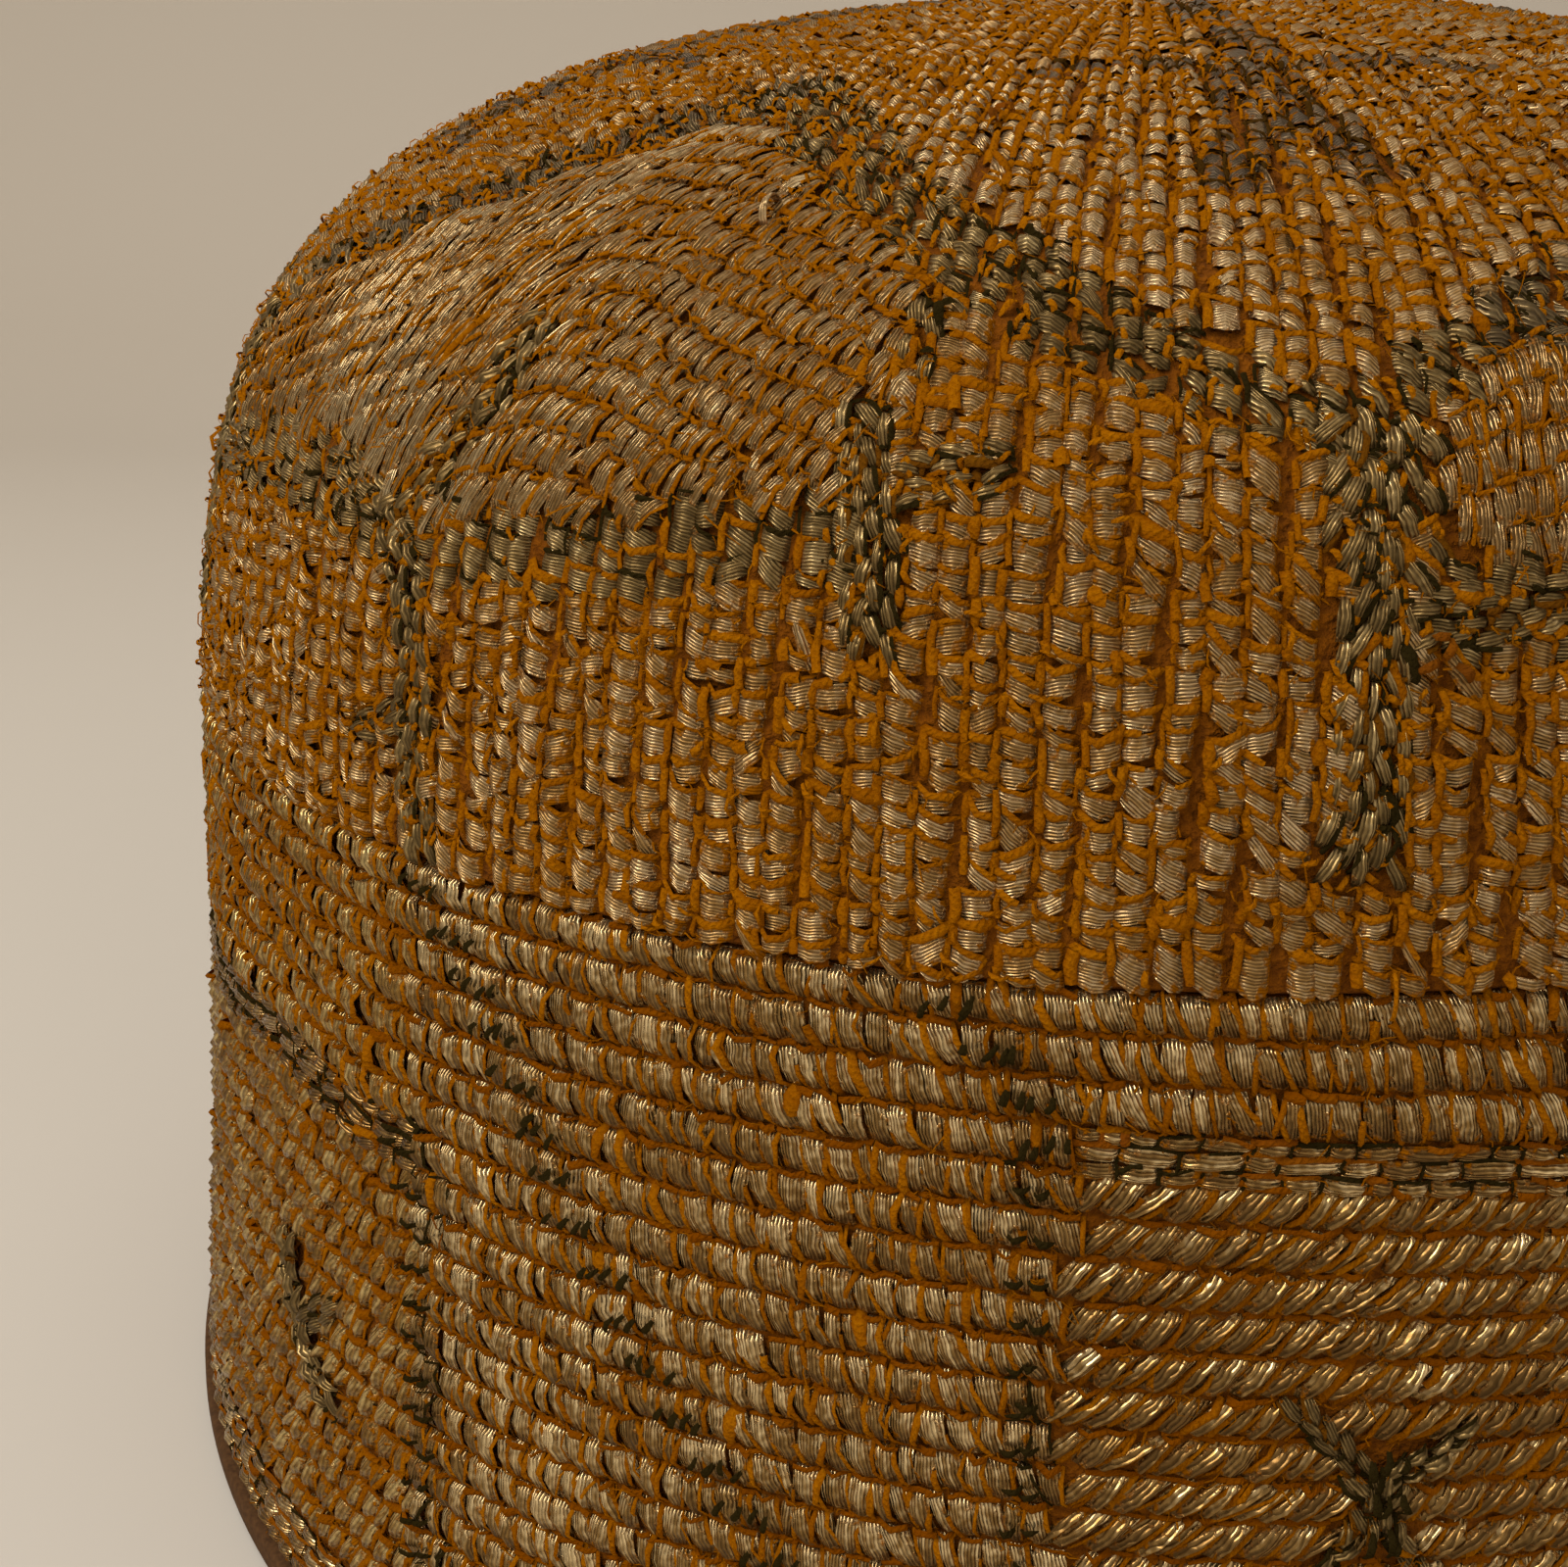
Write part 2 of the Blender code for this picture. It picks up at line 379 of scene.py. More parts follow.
hairForm = dict(
    radius=0.000055, reach=0.0009, atSide=0.75, sideLift=0.00055, endLift=0.00010,
    curl=1.1, uneven=0.45, rise=0.2, size=0.2, taper=np.array([1.0, 0.9, 0.5]), dark=0.3, shade=0.3,
    # the outward part of each half: a fixed share and one that goes with the hair's own rise
    away=(0.05, 0.6), back=(-0.3, 0.2),
)


def fuzz(cells, share):
    # loose fibres: flat curved hairs that start on a thread and bend away over the bundles
    f = hairForm
    count = len(cells["seed"])
    chosen = pick(cells, rng.integers(0, count, int(count * share)))
    n = len(chosen["seed"])
    atSide = rng.random(n) < f["atSide"]
    p = np.where(atSide, rng.uniform(-1, 1, n), 1.0)[:, None]
    q = np.where(atSide, rng.choice([-1.0, 1.0], n), rng.uniform(-1, 1, n))[:, None]
    lift = np.where(atSide, f["sideLift"], f["endLift"])[:, None]
    start = cellPoints(chosen, p, q, lift)[0]
    point, east, up, out = wallFrame(chosen["azimuth"], chosen["climb"])
    way = rng.uniform(0, 2 * math.pi, n)[:, None]
    curl = way + rng.normal(0, f["curl"], n)[:, None]
    half = (f["reach"] * rng.lognormal(0, f["uneven"], n))[:, None] * 0.5
    rise = np.abs(rng.normal(f["rise"], f["rise"], n))[:, None]
    first, second = (
        (np.cos(turn) * east + np.sin(turn) * up + (fixed + own * rise) * out) * half
        for turn, (fixed, own) in ((way, f["away"]), (curl, f["back"])))
    paths = start + np.stack([0 * first, first, first + second], 1)
    size = f["radius"] * (1 + rng.normal(0, f["size"], (n, 1))) * f["taper"]
    return threadMesh(paths, out[:, None], size, chosen["dark"] * f["dark"], 0.0,
                      f["shade"] * rng.random(n), sections=(-90.0, 90.0))


stitchForm = dict(
    places=np.array([-1.0, -0.4, 0.4, 1.0]), dive=np.array([-0.00045, 0.0, 0.0, -0.00045]),
    taper=np.array([0.6, 1.0, 1.0, 0.6]), width=0.002, wander=(0.05, 0.08), size=0.1,
)


def stitches(azimuth, climb, angle, length, radius, lift, dark=1.0, rust=0.0):
    # bold single stitches that lie on the bundles and dive at both ends
    f = stitchForm
    table = makeCells(azimuth=azimuth, climb=climb, course=angle, strand=np.asarray(angle) + 90.0,
                      length=length, width=f["width"], base=0.0, lift=0.0)
    n = len(table["seed"])
    p = f["places"] + rng.normal(0, f["wander"][0], (n, 4))
    q = rng.normal(0, f["wander"][1], (n, 4))
    height = np.broadcast_to(lift, n)[:, None] + padForm["sink"] + f["dive"]
    out = wallFrame(table["azimuth"], table["climb"])[3][:, None]
    paths = cellPoints(table, p, q)[0] + height[..., None] * out
    size = np.broadcast_to(radius, n)[:, None] * f["taper"] * (1 + rng.normal(0, f["size"], (n, 1)))
    return threadMesh(paths, out, size, dark, rust)


# Where the motifs lie: the crown repeats five times

period = dict(degrees=72.0, start=-56.0, count=5)
repeats = period["degrees"] * np.arange(period["count"])


def wrapped(azimuth):
    return (azimuth - period["start"]) % period["degrees"] + period["start"]


def gapTo(azimuth, place):
    # degrees from the place to the azimuth, the short way round
    return (azimuth - place + 180) % 360 - 180


crownChart = dict(
    # azimuth, climb of the middle, half width: the thick zigzag of scale stitches
    zigzag=np.array([
        (-56, 36.4, 3.0), (-50, 40.2, 3.2), (-45, 44.4, 3.6), (-40, 48.8, 4.0), (-36, 52.3, 4.3),
        (-32, 56.0, 4.6), (-28, 59.5, 4.8), (-24, 59.3, 4.9), (-20, 55.2, 5.0), (-15, 50.4, 5.0),
        (-10, 44.6, 4.5), (-5, 40.8, 4.1), (0, 37.2, 3.7), (5, 33.8, 3.2), (10, 31.4, 2.6),
        (16, 36.4, 3.0)]),
    # azimuth, lower and upper climb of the row of dark-edged bundles
    darkRow=np.array([
        (-56, 19.0, 25.0), (-50, 19.4, 25.6), (-45, 20.0, 26.4), (-40, 19.8, 25.8),
        (-37, 18.2, 23.0), (-30, 18.4, 23.2), (-24, 19.0, 24.2), (-18, 20.6, 25.6),
        (-12, 22.0, 27.0), (10, 18.0, 22.6), (16, 19.0, 25.0)]),
)


def chartLines(name, azimuth):
    # the two charted values at each azimuth, in metres
    chart = crownChart[name]
    return [np.interp(wrapped(azimuth), chart[:, 0], chart[:, k]) * mm for k in (1, 2)]


ribForm = dict(
    cells=dict(course=90.0, strand=168.0, lift=0.00072, base=-0.00072, bend=0.00034,
               cross=0.95, side=0.93, dip=0.26, shade=0.10, pitch=0.00020),
    edgeWander=0.16, leastLength=0.0003, fill=0.97,
    # size, and a, b and c of each wave below
    edgeWaves=((0.5, 0.0, 0.21, 1.0), (0.35, 0.0, 0.57, 0.0)),
    swayWaves=((0.19, 190, 1.7, 0.0), (0.15, 430, 2.9, 0.0)),
    widthWaves=((0.10, 0.0, 2.3, 0.0), (0.06, 260, 1.1, 0.0)),
)


def waves(table, climb, cord):
    # the sum of size * sin(a * climb + b * cord + c)
    return sum(size * np.sin(climb * a + cord * b + c) for size, a, b, c in table)


def ribCells(low, high, count, bundle, **given):
    # cords that run up the wall, in bundles whose strands lie across them; the bundles' ends
    # keep near the same climb on neighbouring cords, with a slow wave round the hat
    f = ribForm
    rows = max(int((high - low) / bundle), 1)
    cord = np.arange(count)[:, None]
    edge = np.arange(rows + 1) + rng.normal(0, f["edgeWander"], (count, rows + 1))
    edge[:, 1:-1] += waves(f["edgeWaves"], 0.0, cord)
    edge = np.sort(low + (high - low) * np.clip(edge / rows, 0, 1), axis=1)
    edge[:, 0], edge[:, -1] = low, high
    climb = (edge[:, 1:] + edge[:, :-1]) / 2
    azimuth = cord * 360.0 / count + waves(f["swayWaves"], climb, cord)
    width = np.radians(360.0 / count) * radiusAt(climb) * f["fill"]
    return makeCells(azimuth=azimuth, climb=climb,
                     length=np.maximum(np.diff(edge, axis=1), f["leastLength"]),
                     width=width * (1 + waves(f["widthWaves"], climb, cord)),
                     **{**f["cells"], **given})


# Sprays: leaf pairs along a drawn line, given as azimuth and climb in millimetres

crownSprays = [
    # line, full width, leaf length (mm), spread of the leaves (degrees), dark share, tone
    ([(-31, 0.5), (-32, 5), (-32, 12), (-33.5, 18), (-35.5, 22)], 3.2, 2.3, 12, 0.95, 0.24),
    ([(-32.6, 9.6), (-36.4, 7.4)], 2.4, 2.0, 20, 0.8, 0.26),
    ([(-35.5, 21), (-33, 25.5), (-30.6, 29.5)], 3.2, 2.8, 10, 0.95, 0.24),
    ([(-30.8, 29.5), (-29.4, 36.0)], 3.8, 2.4, 24, 0.9, 0.40),
    ([(-41.5, 25.5), (-36, 22)], 2.8, 2.0, 10, 0.95, 0.26),
    ([(-9.6, 18), (-9.8, 24), (-11, 32)], 3.4, 2.2, 14, 0.9, 0.34),
    ([(-9.0, 28.0), (-4.5, 29.0)], 3.2, 1.9, 24, 0.9, 0.32),
    ([(-9.2, 34), (-9.0, 39.5)], 2.2, 2.2, 14, 0.9, 0.30),
    ([(10.2, 7), (10.4, 18), (10.8, 25)], 4.4, 2.4, 18, 0.9, 0.34),
    ([(10.8, 24), (11.0, 32.5)], 6.4, 2.5, 40, 0.9, 0.38),
    ([(12, 21.0), (18.4, 21.6)], 3.4, 2.0, 20, 0.85, 0.30),
]
starLines = [
    # line and full width of the violet star on the top, where the ribs only change colour
    ([(6.8, 50), (8.2, 56), (9.6, 62), (10.0, 72)], 5.6),
    ([(14.2, 50.5), (12.2, 57), (10.4, 62)], 4.0),
    ([(9.0, 64.5), (5, 66), (1, 67), (-4, 66.5), (-9, 65)], 2.6),
    ([(11.0, 64.5), (15, 66), (19, 67), (24, 66.5), (29, 65)], 2.6),
    ([(10, 72), (10, 84), (10, 104)], 4.4),
]


def stations(line, spacing):
    # evenly spaced points of a drawn line, with its direction, on the unrolled wall
    azimuth, climb = np.array(line, float).T
    radius = radiusAt(climb * mm) / mm
    steps = np.radians(np.diff(azimuth)) * (radius[1:] + radius[:-1]) / 2
    east = np.concatenate([[0.0], np.cumsum(steps)])
    run = np.concatenate([[0.0], np.cumsum(np.hypot(np.diff(east), np.diff(climb)))])
    count = max(int(run[-1] / spacing), 1)
    at = (np.arange(count) + 0.5) * run[-1] / count
    rise, reach = (np.interp(at + 0.1, run, way) - np.interp(at - 0.1, run, way)
                   for way in (climb, east))
    return (np.interp(at, run, azimuth), np.interp(at, run, climb) * mm,
            np.degrees(np.arctan2(rise, reach)))


def shifted(azimuth, climb, turn, way):
    # a step of the given length to the left of the line's direction
    radius = np.maximum(radiusAt(climb), 0.003)
    return (azimuth - np.degrees(way * np.sin(np.radians(turn)) / radius),
            climb + way * np.cos(np.radians(turn)))


leafForm = dict(
    cells=dict(base=-0.00045, cross=0.95, side=0.9, dip=0.60, taper=0.42, pitch=0.00023),
    rowWidth=0.40, spacing=0.86, stagger=0.43, back=0.2, overlap=1.12, darkness=[0.6, 1.0, 1.0],
)


def leafCells(sprays, each, lift):
    # rows of leaves side by side across the line, each with its strands along its length
    f = leafForm
    groups = []
    for line, width, leaf, lean, dark, tone in sprays:
        rows = max(round(width / (leaf * f["rowWidth"])), 2)
        for k in range(rows):
            side = (k - (rows - 1) / 2) * width / rows
            azimuth, climb, turn = stations(line, leaf * f["spacing"])
            step = leaf * f["stagger"] * (k % 2) - leaf * f["back"]
            azimuth, climb = shifted(azimuth, climb, turn, side * mm)
            azimuth, climb = shifted(azimuth, climb, turn - 90.0, step * mm)
            axis = turn - lean * side / (width / 2)
            cells = makeCells(azimuth=azimuth, climb=climb, course=axis - 90.0, strand=axis,
                              length=width / rows * f["overlap"] * mm, width=leaf * mm,
                              lift=lift, tone=tone, **f["cells"])
            n = len(azimuth)
            cells["dark"] = (rng.random(n) < dark) * rng.choice(f["darkness"], n)
            groups.extend([{**cells, "azimuth": cells["azimuth"] + r} for r in each])
    return together(*groups)


def nearSprays(cells, sprays, each, share):
    # true where a bundle lies nearer to a spray's line than that share of its full width
    azimuth, climb = cells["azimuth"], cells["climb"]
    covered = np.zeros(azimuth.shape, bool)
    for line, width, *rest in sprays:
        a, c, turn = stations(line, 0.8)
        for r in each:
            reach = np.radians(gapTo(azimuth[:, None] - a, r)) * radiusAt(climb)[:, None]
            covered |= (np.hypot(reach, climb[:, None] - c) < width * share * mm).any(1)
    return covered


# Crown

ribPlan = dict(
    count=232, bundle=0.00150, low=0.0004, high=0.068, tone=0.56,
    fanGap=(-9.5, 13.5),  # no fan and no dark-edged row between these azimuths
    rowDark=0.5, rowTone=0.52, rowMargin=0.0004, zigMargin=0.0006,
    brightTone=0.88, brightMiddle=-4.0, brightHalf=11.0,  # above the zigzag, towards the light
    underShare=0.56, underFrom=0.0015, underReach=0.001, underChance=0.6, leafShare=0.31,
)


def onFan(azimuth):
    low, high = ribPlan["fanGap"]
    return (wrapped(azimuth) < low) | (wrapped(azimuth) > high)


print("crown cells")
plan = ribPlan
ribs = ribCells(plan["low"], plan["high"], plan["count"], plan["bundle"], tone=plan["tone"])
az, cl = ribs["azimuth"], ribs["climb"]
zigMiddle, zigHalf = chartLines("zigzag", az)
zigLow, zigHigh = zigMiddle - zigHalf, zigMiddle + zigHalf
rowLow, rowHigh = chartLines("darkRow", az)
inRow = onFan(az) & (cl > rowLow) & (cl < rowHigh)
ribs["dark"] = inRow * (rng.random(len(az)) < plan["rowDark"]) * 1.0
ribs["tone"][inRow] = plan["rowTone"]
# painted light: ribs above the zigzag on the side towards the light get a brighter tone
bright = (cl > zigHigh) & (np.abs(wrapped(az) - plan["brightMiddle"]) < plan["brightHalf"])
ribs["tone"][bright] = plan["brightTone"]
drop = onFan(az) & (cl > rowHigh + plan["rowMargin"]) & (cl < zigLow)
drop |= (cl > zigLow + plan["zigMargin"]) & (cl < zigHigh - plan["zigMargin"])
under = nearSprays(ribs, crownSprays, repeats, plan["underShare"]) & (cl > plan["underFrom"])
under |= (drop & (cl > zigLow - plan["underReach"]) & (cl < zigHigh + plan["underReach"])
          & (rng.random(len(az)) < plan["underChance"]))
fillCells = pick(ribs, under)
drop |= nearSprays(ribs, crownSprays, repeats, plan["leafShare"])

starForm = dict(share=0.5, violet=(0.6, 1.0), tone=0.3, darkShare=0.75, dark=0.9, turn=22.0)


def paintStar(cells):
    # bundles and threads of the star are violet and dark, and their strands lean
    f = starForm
    star = nearSprays(cells, starLines, repeats, f["share"])
    cells["violet"][star] = rng.uniform(*f["violet"], star.sum())
    cells["tone"][star] = f["tone"]
    cells["dark"][star] = (rng.random(star.sum()) < f["darkShare"]) * f["dark"]
    cells["strand"][star] += rng.normal(0, f["turn"], star.sum())
    return cells


ribs = paintStar(ribs)
rowCells = jitter(pick(ribs, ~drop & inRow), place=0.06, size=0.10, turn=11.0)
ribs = jitter(pick(ribs, ~drop & ~inRow), place=0.05, size=0.10, turn=17.0)

# the zigzag: short slanted bundles, with a dark thread over most of them
zigPlan = dict(
    low=0.0285, high=0.0660, bundle=0.00135, leftFlank=(-62.0, -26.0), tilt=0.3,
    # on the left flank and elsewhere
    strand=(145.0, 148.0), violet=(0.5, 0.0), dark=(0.95, 0.80),
    cells=dict(tone=0.36, dip=0.6, cross=0.75, side=0.7, taper=0.25),
)
zig = ribCells(zigPlan["low"], zigPlan["high"], plan["count"], zigPlan["bundle"], **zigPlan["cells"])
az, cl = zig["azimuth"], zig["climb"]
leftFlank = (wrapped(az) > zigPlan["leftFlank"][0]) & (wrapped(az) < zigPlan["leftFlank"][1])
zig["strand"], zig["violet"], darkShare = (
    np.where(leftFlank, *zigPlan[key]) for key in ("strand", "violet", "dark"))
zig["tilt"] = rng.normal(0, zigPlan["tilt"], len(az))
zig["dark"] = (rng.random(len(az)) < darkShare) * 1.0
zigMiddle, zigHalf = chartLines("zigzag", az)
zig = jitter(pick(zig, np.abs(cl - zigMiddle) < zigHalf), place=0.14, size=0.16, turn=14.0)
zig = together(zig, rowCells)

# the fan: courses that follow the zigzag's slope, in bundles that lean more and more
fanPlan = dict(
    pitch=0.00245, length=0.00104, around=0.076, rows=22, uneven=0.3, wander=0.00030,
    slope=0.55, low=0.024, lowRow=6, zigzag=0.031, rowMargin=0.0004, zigMargin=0.0006,
    # azimuths, and the strands' lean, the share of loose stitching and the tone there
    lean=([-56, -42, -30, -10, 12.5, 16], [90, 80, 64, 60, 100, 96]),
    loose=([-56, -51, -45, -38, -28, -10, 12, 16], [0.95, 0.90, 0.45, 0.40, 0.9, 1.0, 1.0, 0.95]),
    tone=([-56, -42, -32, -20, -10], [0.22, 0.66, 0.44, 0.30, 0.32]),
    # value where the courses lie tight, and what the loose stitching adds; widths in pitches
    mixed=dict(width=(1.86, -0.84), lift=(0.00020, 0.00014), cross=(0.0, 0.70), side=(0.30, 0.65),
               dip=(0.04, 0.42), taper=(0.06, 0.12), violet=(0.0, 0.10)),
    cells=dict(base=-0.00024, bend=0.00014, pitch=0.00021, shade=0.15),
)
fanColumns = int(2 * math.pi * fanPlan["around"] / fanPlan["length"])
row = np.arange(fanPlan["rows"])[:, None]
azimuth, degrees = unevenSteps(fanPlan["rows"], fanColumns, 0.0, 360.0, fanPlan["uneven"])
azimuth = azimuth + 360.0 * rng.random((fanPlan["rows"], 1))
here, after, before = (chartLines("zigzag", azimuth + step)[0] for step in (0, 1, -1))
climb = (fanPlan["low"] + (row - fanPlan["lowRow"]) * fanPlan["pitch"]
         + fanPlan["slope"] * (here - fanPlan["zigzag"]))
rise = fanPlan["slope"] * (after - before)
courseTurn = np.degrees(np.arctan2(rise, np.radians(2.0) * radiusAt(climb)))
lean, share = (np.interp(wrapped(azimuth), *fanPlan[key]) for key in ("lean", "loose"))
length = np.radians(degrees) * radiusAt(climb)
wander = rng.normal(0, fanPlan["wander"], azimuth.shape)
azimuth, climb = shifted(azimuth, climb, lean - 90.0, wander * share)
mixed = {key: tight + loose * share for key, (tight, loose) in fanPlan["mixed"].items()}
mixed["width"] = fanPlan["pitch"] * mixed["width"]
fan = makeCells(azimuth=azimuth, climb=climb, course=courseTurn, strand=lean, length=length,
                tone=np.interp(wrapped(azimuth), *fanPlan["tone"]), **mixed, **fanPlan["cells"])
az, cl = fan["azimuth"], fan["climb"]
zigMiddle, zigHalf = chartLines("zigzag", az)
keep = onFan(az) & (cl > chartLines("darkRow", az)[1] - fanPlan["rowMargin"])
keep &= cl < zigMiddle - zigHalf + fanPlan["zigMargin"]
keep &= ~nearSprays(fan, crownSprays, repeats, plan["leafShare"])
fan = jitter(pick(fan, keep), turn=6.0)

# the top: half as many ribs, then a quarter, to a small button of short ones
topPlan = [
    # lower and upper climb, how many ribs become one, bundle length, tone, violet
    (plan["high"], 0.088, 2, 0.00155, 0.45, 0.0),
    (0.088, topClimb - 0.006, 4, 0.0019, 0.4, 0.0),
    (topClimb - 0.006, topClimb - 0.0008, 8, 0.0019, 0.35, 0.7),
]
topCells = together(*[
    ribCells(low, high, plan["count"] // each, bundle, tone=tone, violet=violet)
    for low, high, each, bundle, tone, violet in topPlan])
topCells = jitter(paintStar(topCells), turn=9.0)
leaves = jitter(leafCells(crownSprays, repeats, 0.00070), place=0.12, size=0.14, turn=9.0)

# Band cords

bandPlan = dict(
    bundle=0.00142, panelBundle=0.00165, uneven=0.38, hem=0.0590, hemMargin=0.0003,
    cells=dict(strand=104.0, lift=0.00095, base=-0.00095, tone=0.54, bend=0.00020, cross=0.95,
               side=0.95, dip=0.42, shade=0.30),
    topSide=0.3,  # few threads below the first cord, so that the seam shows as a dark groove
    overlap=1.02, mostSlope=0.0004, tiltShare=0.7, tilt=(0.10, 0.32),
    panelMargin=0.8, leanReach=0.020,
    panelCells=dict(bend=0.0001, tilt=0.0, dip=0.8, pitch=0.00029),
    columnDark=0.3, columnTone=0.40, leftFrom=-95.0, leftTo=-32.0, flowerShare=0.36,
)
stripForm = dict(uneven=0.4, mostSlope=0.0006, overlap=1.02, base=-0.00066, sinkPerTone=0.0006,
                 cells=dict(lift=0.00050, dip=0.75, shade=0.5, cross=0.95, side=1.0, taper=0.25))
stripChart = [
    # lower edge of the row as a share of the strip, chances of dark and of rust thread,
    # tone, bundle length
    (0.28, 0.90, 0.15, 0.40, 0.0023),
    (0.66, 0.95, 0.20, 0.56, 0.0028),
    (1.00, 0.90, 0.30, 0.36, 0.0022),
]
cordEdges = hatForm["topCord"] + hatForm["cordPitch"] * np.arange(hatForm["cordCount"])
cordEdges = np.concatenate([[0.0], cordEdges])

panels = [
    # azimuths of both ends; depths of the strip's edges in mm, how far it reaches past them,
    # and azimuths and shifts of its line; then the lean of the strands below it, and tones
    dict(start=-1.0, end=41.0, edges=(8.02, 10.83), reach=(0.0, 0.4), repeats=(0, 72, 144, 216),
         line=np.array([(-1, 0.1), (6.7, 0.5), (13, 1.0), (20, 1.7), (30, 1.0), (41, 0.1)]),
         lean=(50, 45), tone=0.22, stripTone=0.0),
    dict(start=-73.0, end=-31.0, edges=(19.26, 22.07), reach=(0.6, 0.9), repeats=(0,),
         line=np.array([(-73, 0.0), (-66, 0.3), (-58, 1.2), (-46, -1.3), (-36, 0.2), (-31, 0.0)]),
         lean=(74, 68), tone=0.50, stripTone=-0.22),
]


def inPanel(azimuth, panel, margin=0.0):
    # the azimuth as seen by the panel's chart, and whether it lies inside
    for r in panel["repeats"]:
        local = gapTo(azimuth, r)
        yield local, (local > panel["start"] + margin) & (local < panel["end"] - margin)


def cordDepth(azimuth, depth):
    # a strip pushes the cords above and below it up or down, less and less to seam and hem
    moved = depth = np.full(len(azimuth), depth)
    for panel in panels:
        top, bottom = (e * mm for e in panel["edges"])
        for local, inside in inPanel(azimuth, panel):
            push = np.interp(local, panel["line"][:, 0], panel["line"][:, 1]) * mm
            fade = np.interp(depth, [0, top, bottom, bandPlan["hem"]], [0, 1, 1, 0])
            moved = np.where(inside, depth + push * fade, moved)
    return moved


def cordSlope(azimuth, depth, most):
    # the direction of a pushed cord, from its depths half a degree to either side
    ahead = cordDepth(azimuth + 0.5, depth) - cordDepth(azimuth - 0.5, depth)
    ahead = np.clip(ahead, -most, most)
    return -np.degrees(np.arctan2(ahead, np.radians(1.0) * radiusAt(-depth)))


def cordSteps(middle):
    # uneven steps round a cord, longer inside a panel: the steps are laid out evenly
    # along the running sum of 1 / wanted length
    fine = np.linspace(-180.0, 180.0, 1441)
    wanted = np.full(len(fine), bandPlan["bundle"])
    for panel in panels:
        if middle > panel["edges"][1] * mm:
            for local, inside in inPanel(fine, panel):
                wanted[inside] = bandPlan["panelBundle"]
    arc = np.radians(fine[1] - fine[0]) * radiusAt(-middle)
    run = np.concatenate([[0.0], np.cumsum(arc / wanted[:-1])])
    steps = 1 + rng.uniform(-bandPlan["uneven"], bandPlan["uneven"], round(run[-1]))
    edges = np.concatenate([[0.0], np.cumsum(steps)]) / steps.sum() * run[-1]
    edges = np.interp(edges, run, fine)
    return (edges[1:] + edges[:-1]) / 2, np.diff(edges)


print("band cells")
plan = bandPlan
groups = []
for top, bottom in zip(cordEdges[:-1], cordEdges[1:]):
    middle = (top + bottom) / 2
    azimuth, degrees = cordSteps(middle)
    count = len(azimuth)
    upperEdge, lowerEdge = (cordDepth(azimuth, edge) for edge in (top, bottom))
    cords = makeCells(azimuth=azimuth, climb=-(upperEdge + lowerEdge) / 2,
                      course=cordSlope(azimuth, middle, plan["mostSlope"]),
                      length=np.radians(degrees) * radiusAt(-middle),
                      width=(lowerEdge - upperEdge) * plan["overlap"], **plan["cells"])
    if top == 0:
        cords["side"][:] = plan["topSide"]
    # the crossings lean in pairs, as the arms of a V
    way = np.where(np.arange(count) % 2 == 0, 1.0, -1.0) * (rng.random(count) < plan["tiltShare"])
    cords["tilt"] = way * rng.uniform(*plan["tilt"], count)
    cords["inStrip"] = np.zeros(count)
    for panel in panels:
        plainTop, plainBottom = (e * mm for e in panel["edges"])
        blend = np.clip((middle - plainBottom) / plan["leanReach"], 0, 1)
        inner = dict(strand=panel["lean"][0] * (1 - blend) + panel["lean"][1] * blend,
                     tone=panel["tone"], **plan["panelCells"])
        for local, inside in inPanel(azimuth, panel, plan["panelMargin"]):
            for key, value in inner.items():
                cords[key][inside & (middle > plainBottom)] = value
            cords["inStrip"][inside & (middle > plainTop) & (middle < plainBottom)] = 1.0
    groups.append(cords)
cords = together(*groups)
stripMask = (cords["inStrip"] > 0) | (cords["climb"] < -plan["hem"] + plan["hemMargin"])
del cords["inStrip"]


def stripCells(start, end, top, bottom, toneShift):
    # low rows of long bundles whose strands run along the strip, with dark ticks between them
    f = stripForm
    groups = []
    upper = 0.0
    for lower, darkShare, rustShare, tone, bundle in stripChart:
        depth = top + (bottom - top) * (upper + lower) / 2
        high = (bottom - top) * (lower - upper)
        upper = lower
        count = max(round(np.radians(end - start) * radiusAt(-depth) / bundle), 1)
        azimuth, degrees = (rows[0] for rows in unevenSteps(1, count, start, end, f["uneven"]))
        # the row's course runs up the wall, so that the strands lie along the strip
        slope = cordSlope(azimuth, depth, f["mostSlope"])
        groups.append(makeCells(
            azimuth=azimuth, climb=-cordDepth(azimuth, depth), course=slope + 90.0, strand=slope,
            length=high * f["overlap"], width=np.radians(degrees) * radiusAt(-depth) * f["overlap"],
            base=f["base"] - f["sinkPerTone"] * toneShift, tone=tone + toneShift,
            dark=(rng.random(count) < darkShare) * 1.0,
            rust=(rng.random(count) < rustShare) * 1.0, **f["cells"]))
    return together(*groups)


def panelStrips(panel):
    top, bottom = (e * mm for e in panel["edges"])
    above, below = (e * mm for e in panel["reach"])
    margin = bandPlan["panelMargin"]
    return [stripCells(panel["start"] + r + margin, panel["end"] + r - margin,
                       top - above, bottom + below, panel["stripTone"]) for r in panel["repeats"]]


laid, laidLeft = (panelStrips(panel) for panel in panels)
laid.append(stripCells(-180.0, 180.0, plan["hem"], cordEdges[-1], 0.0))
laid, laidLeft = together(*laid), together(*laidLeft)

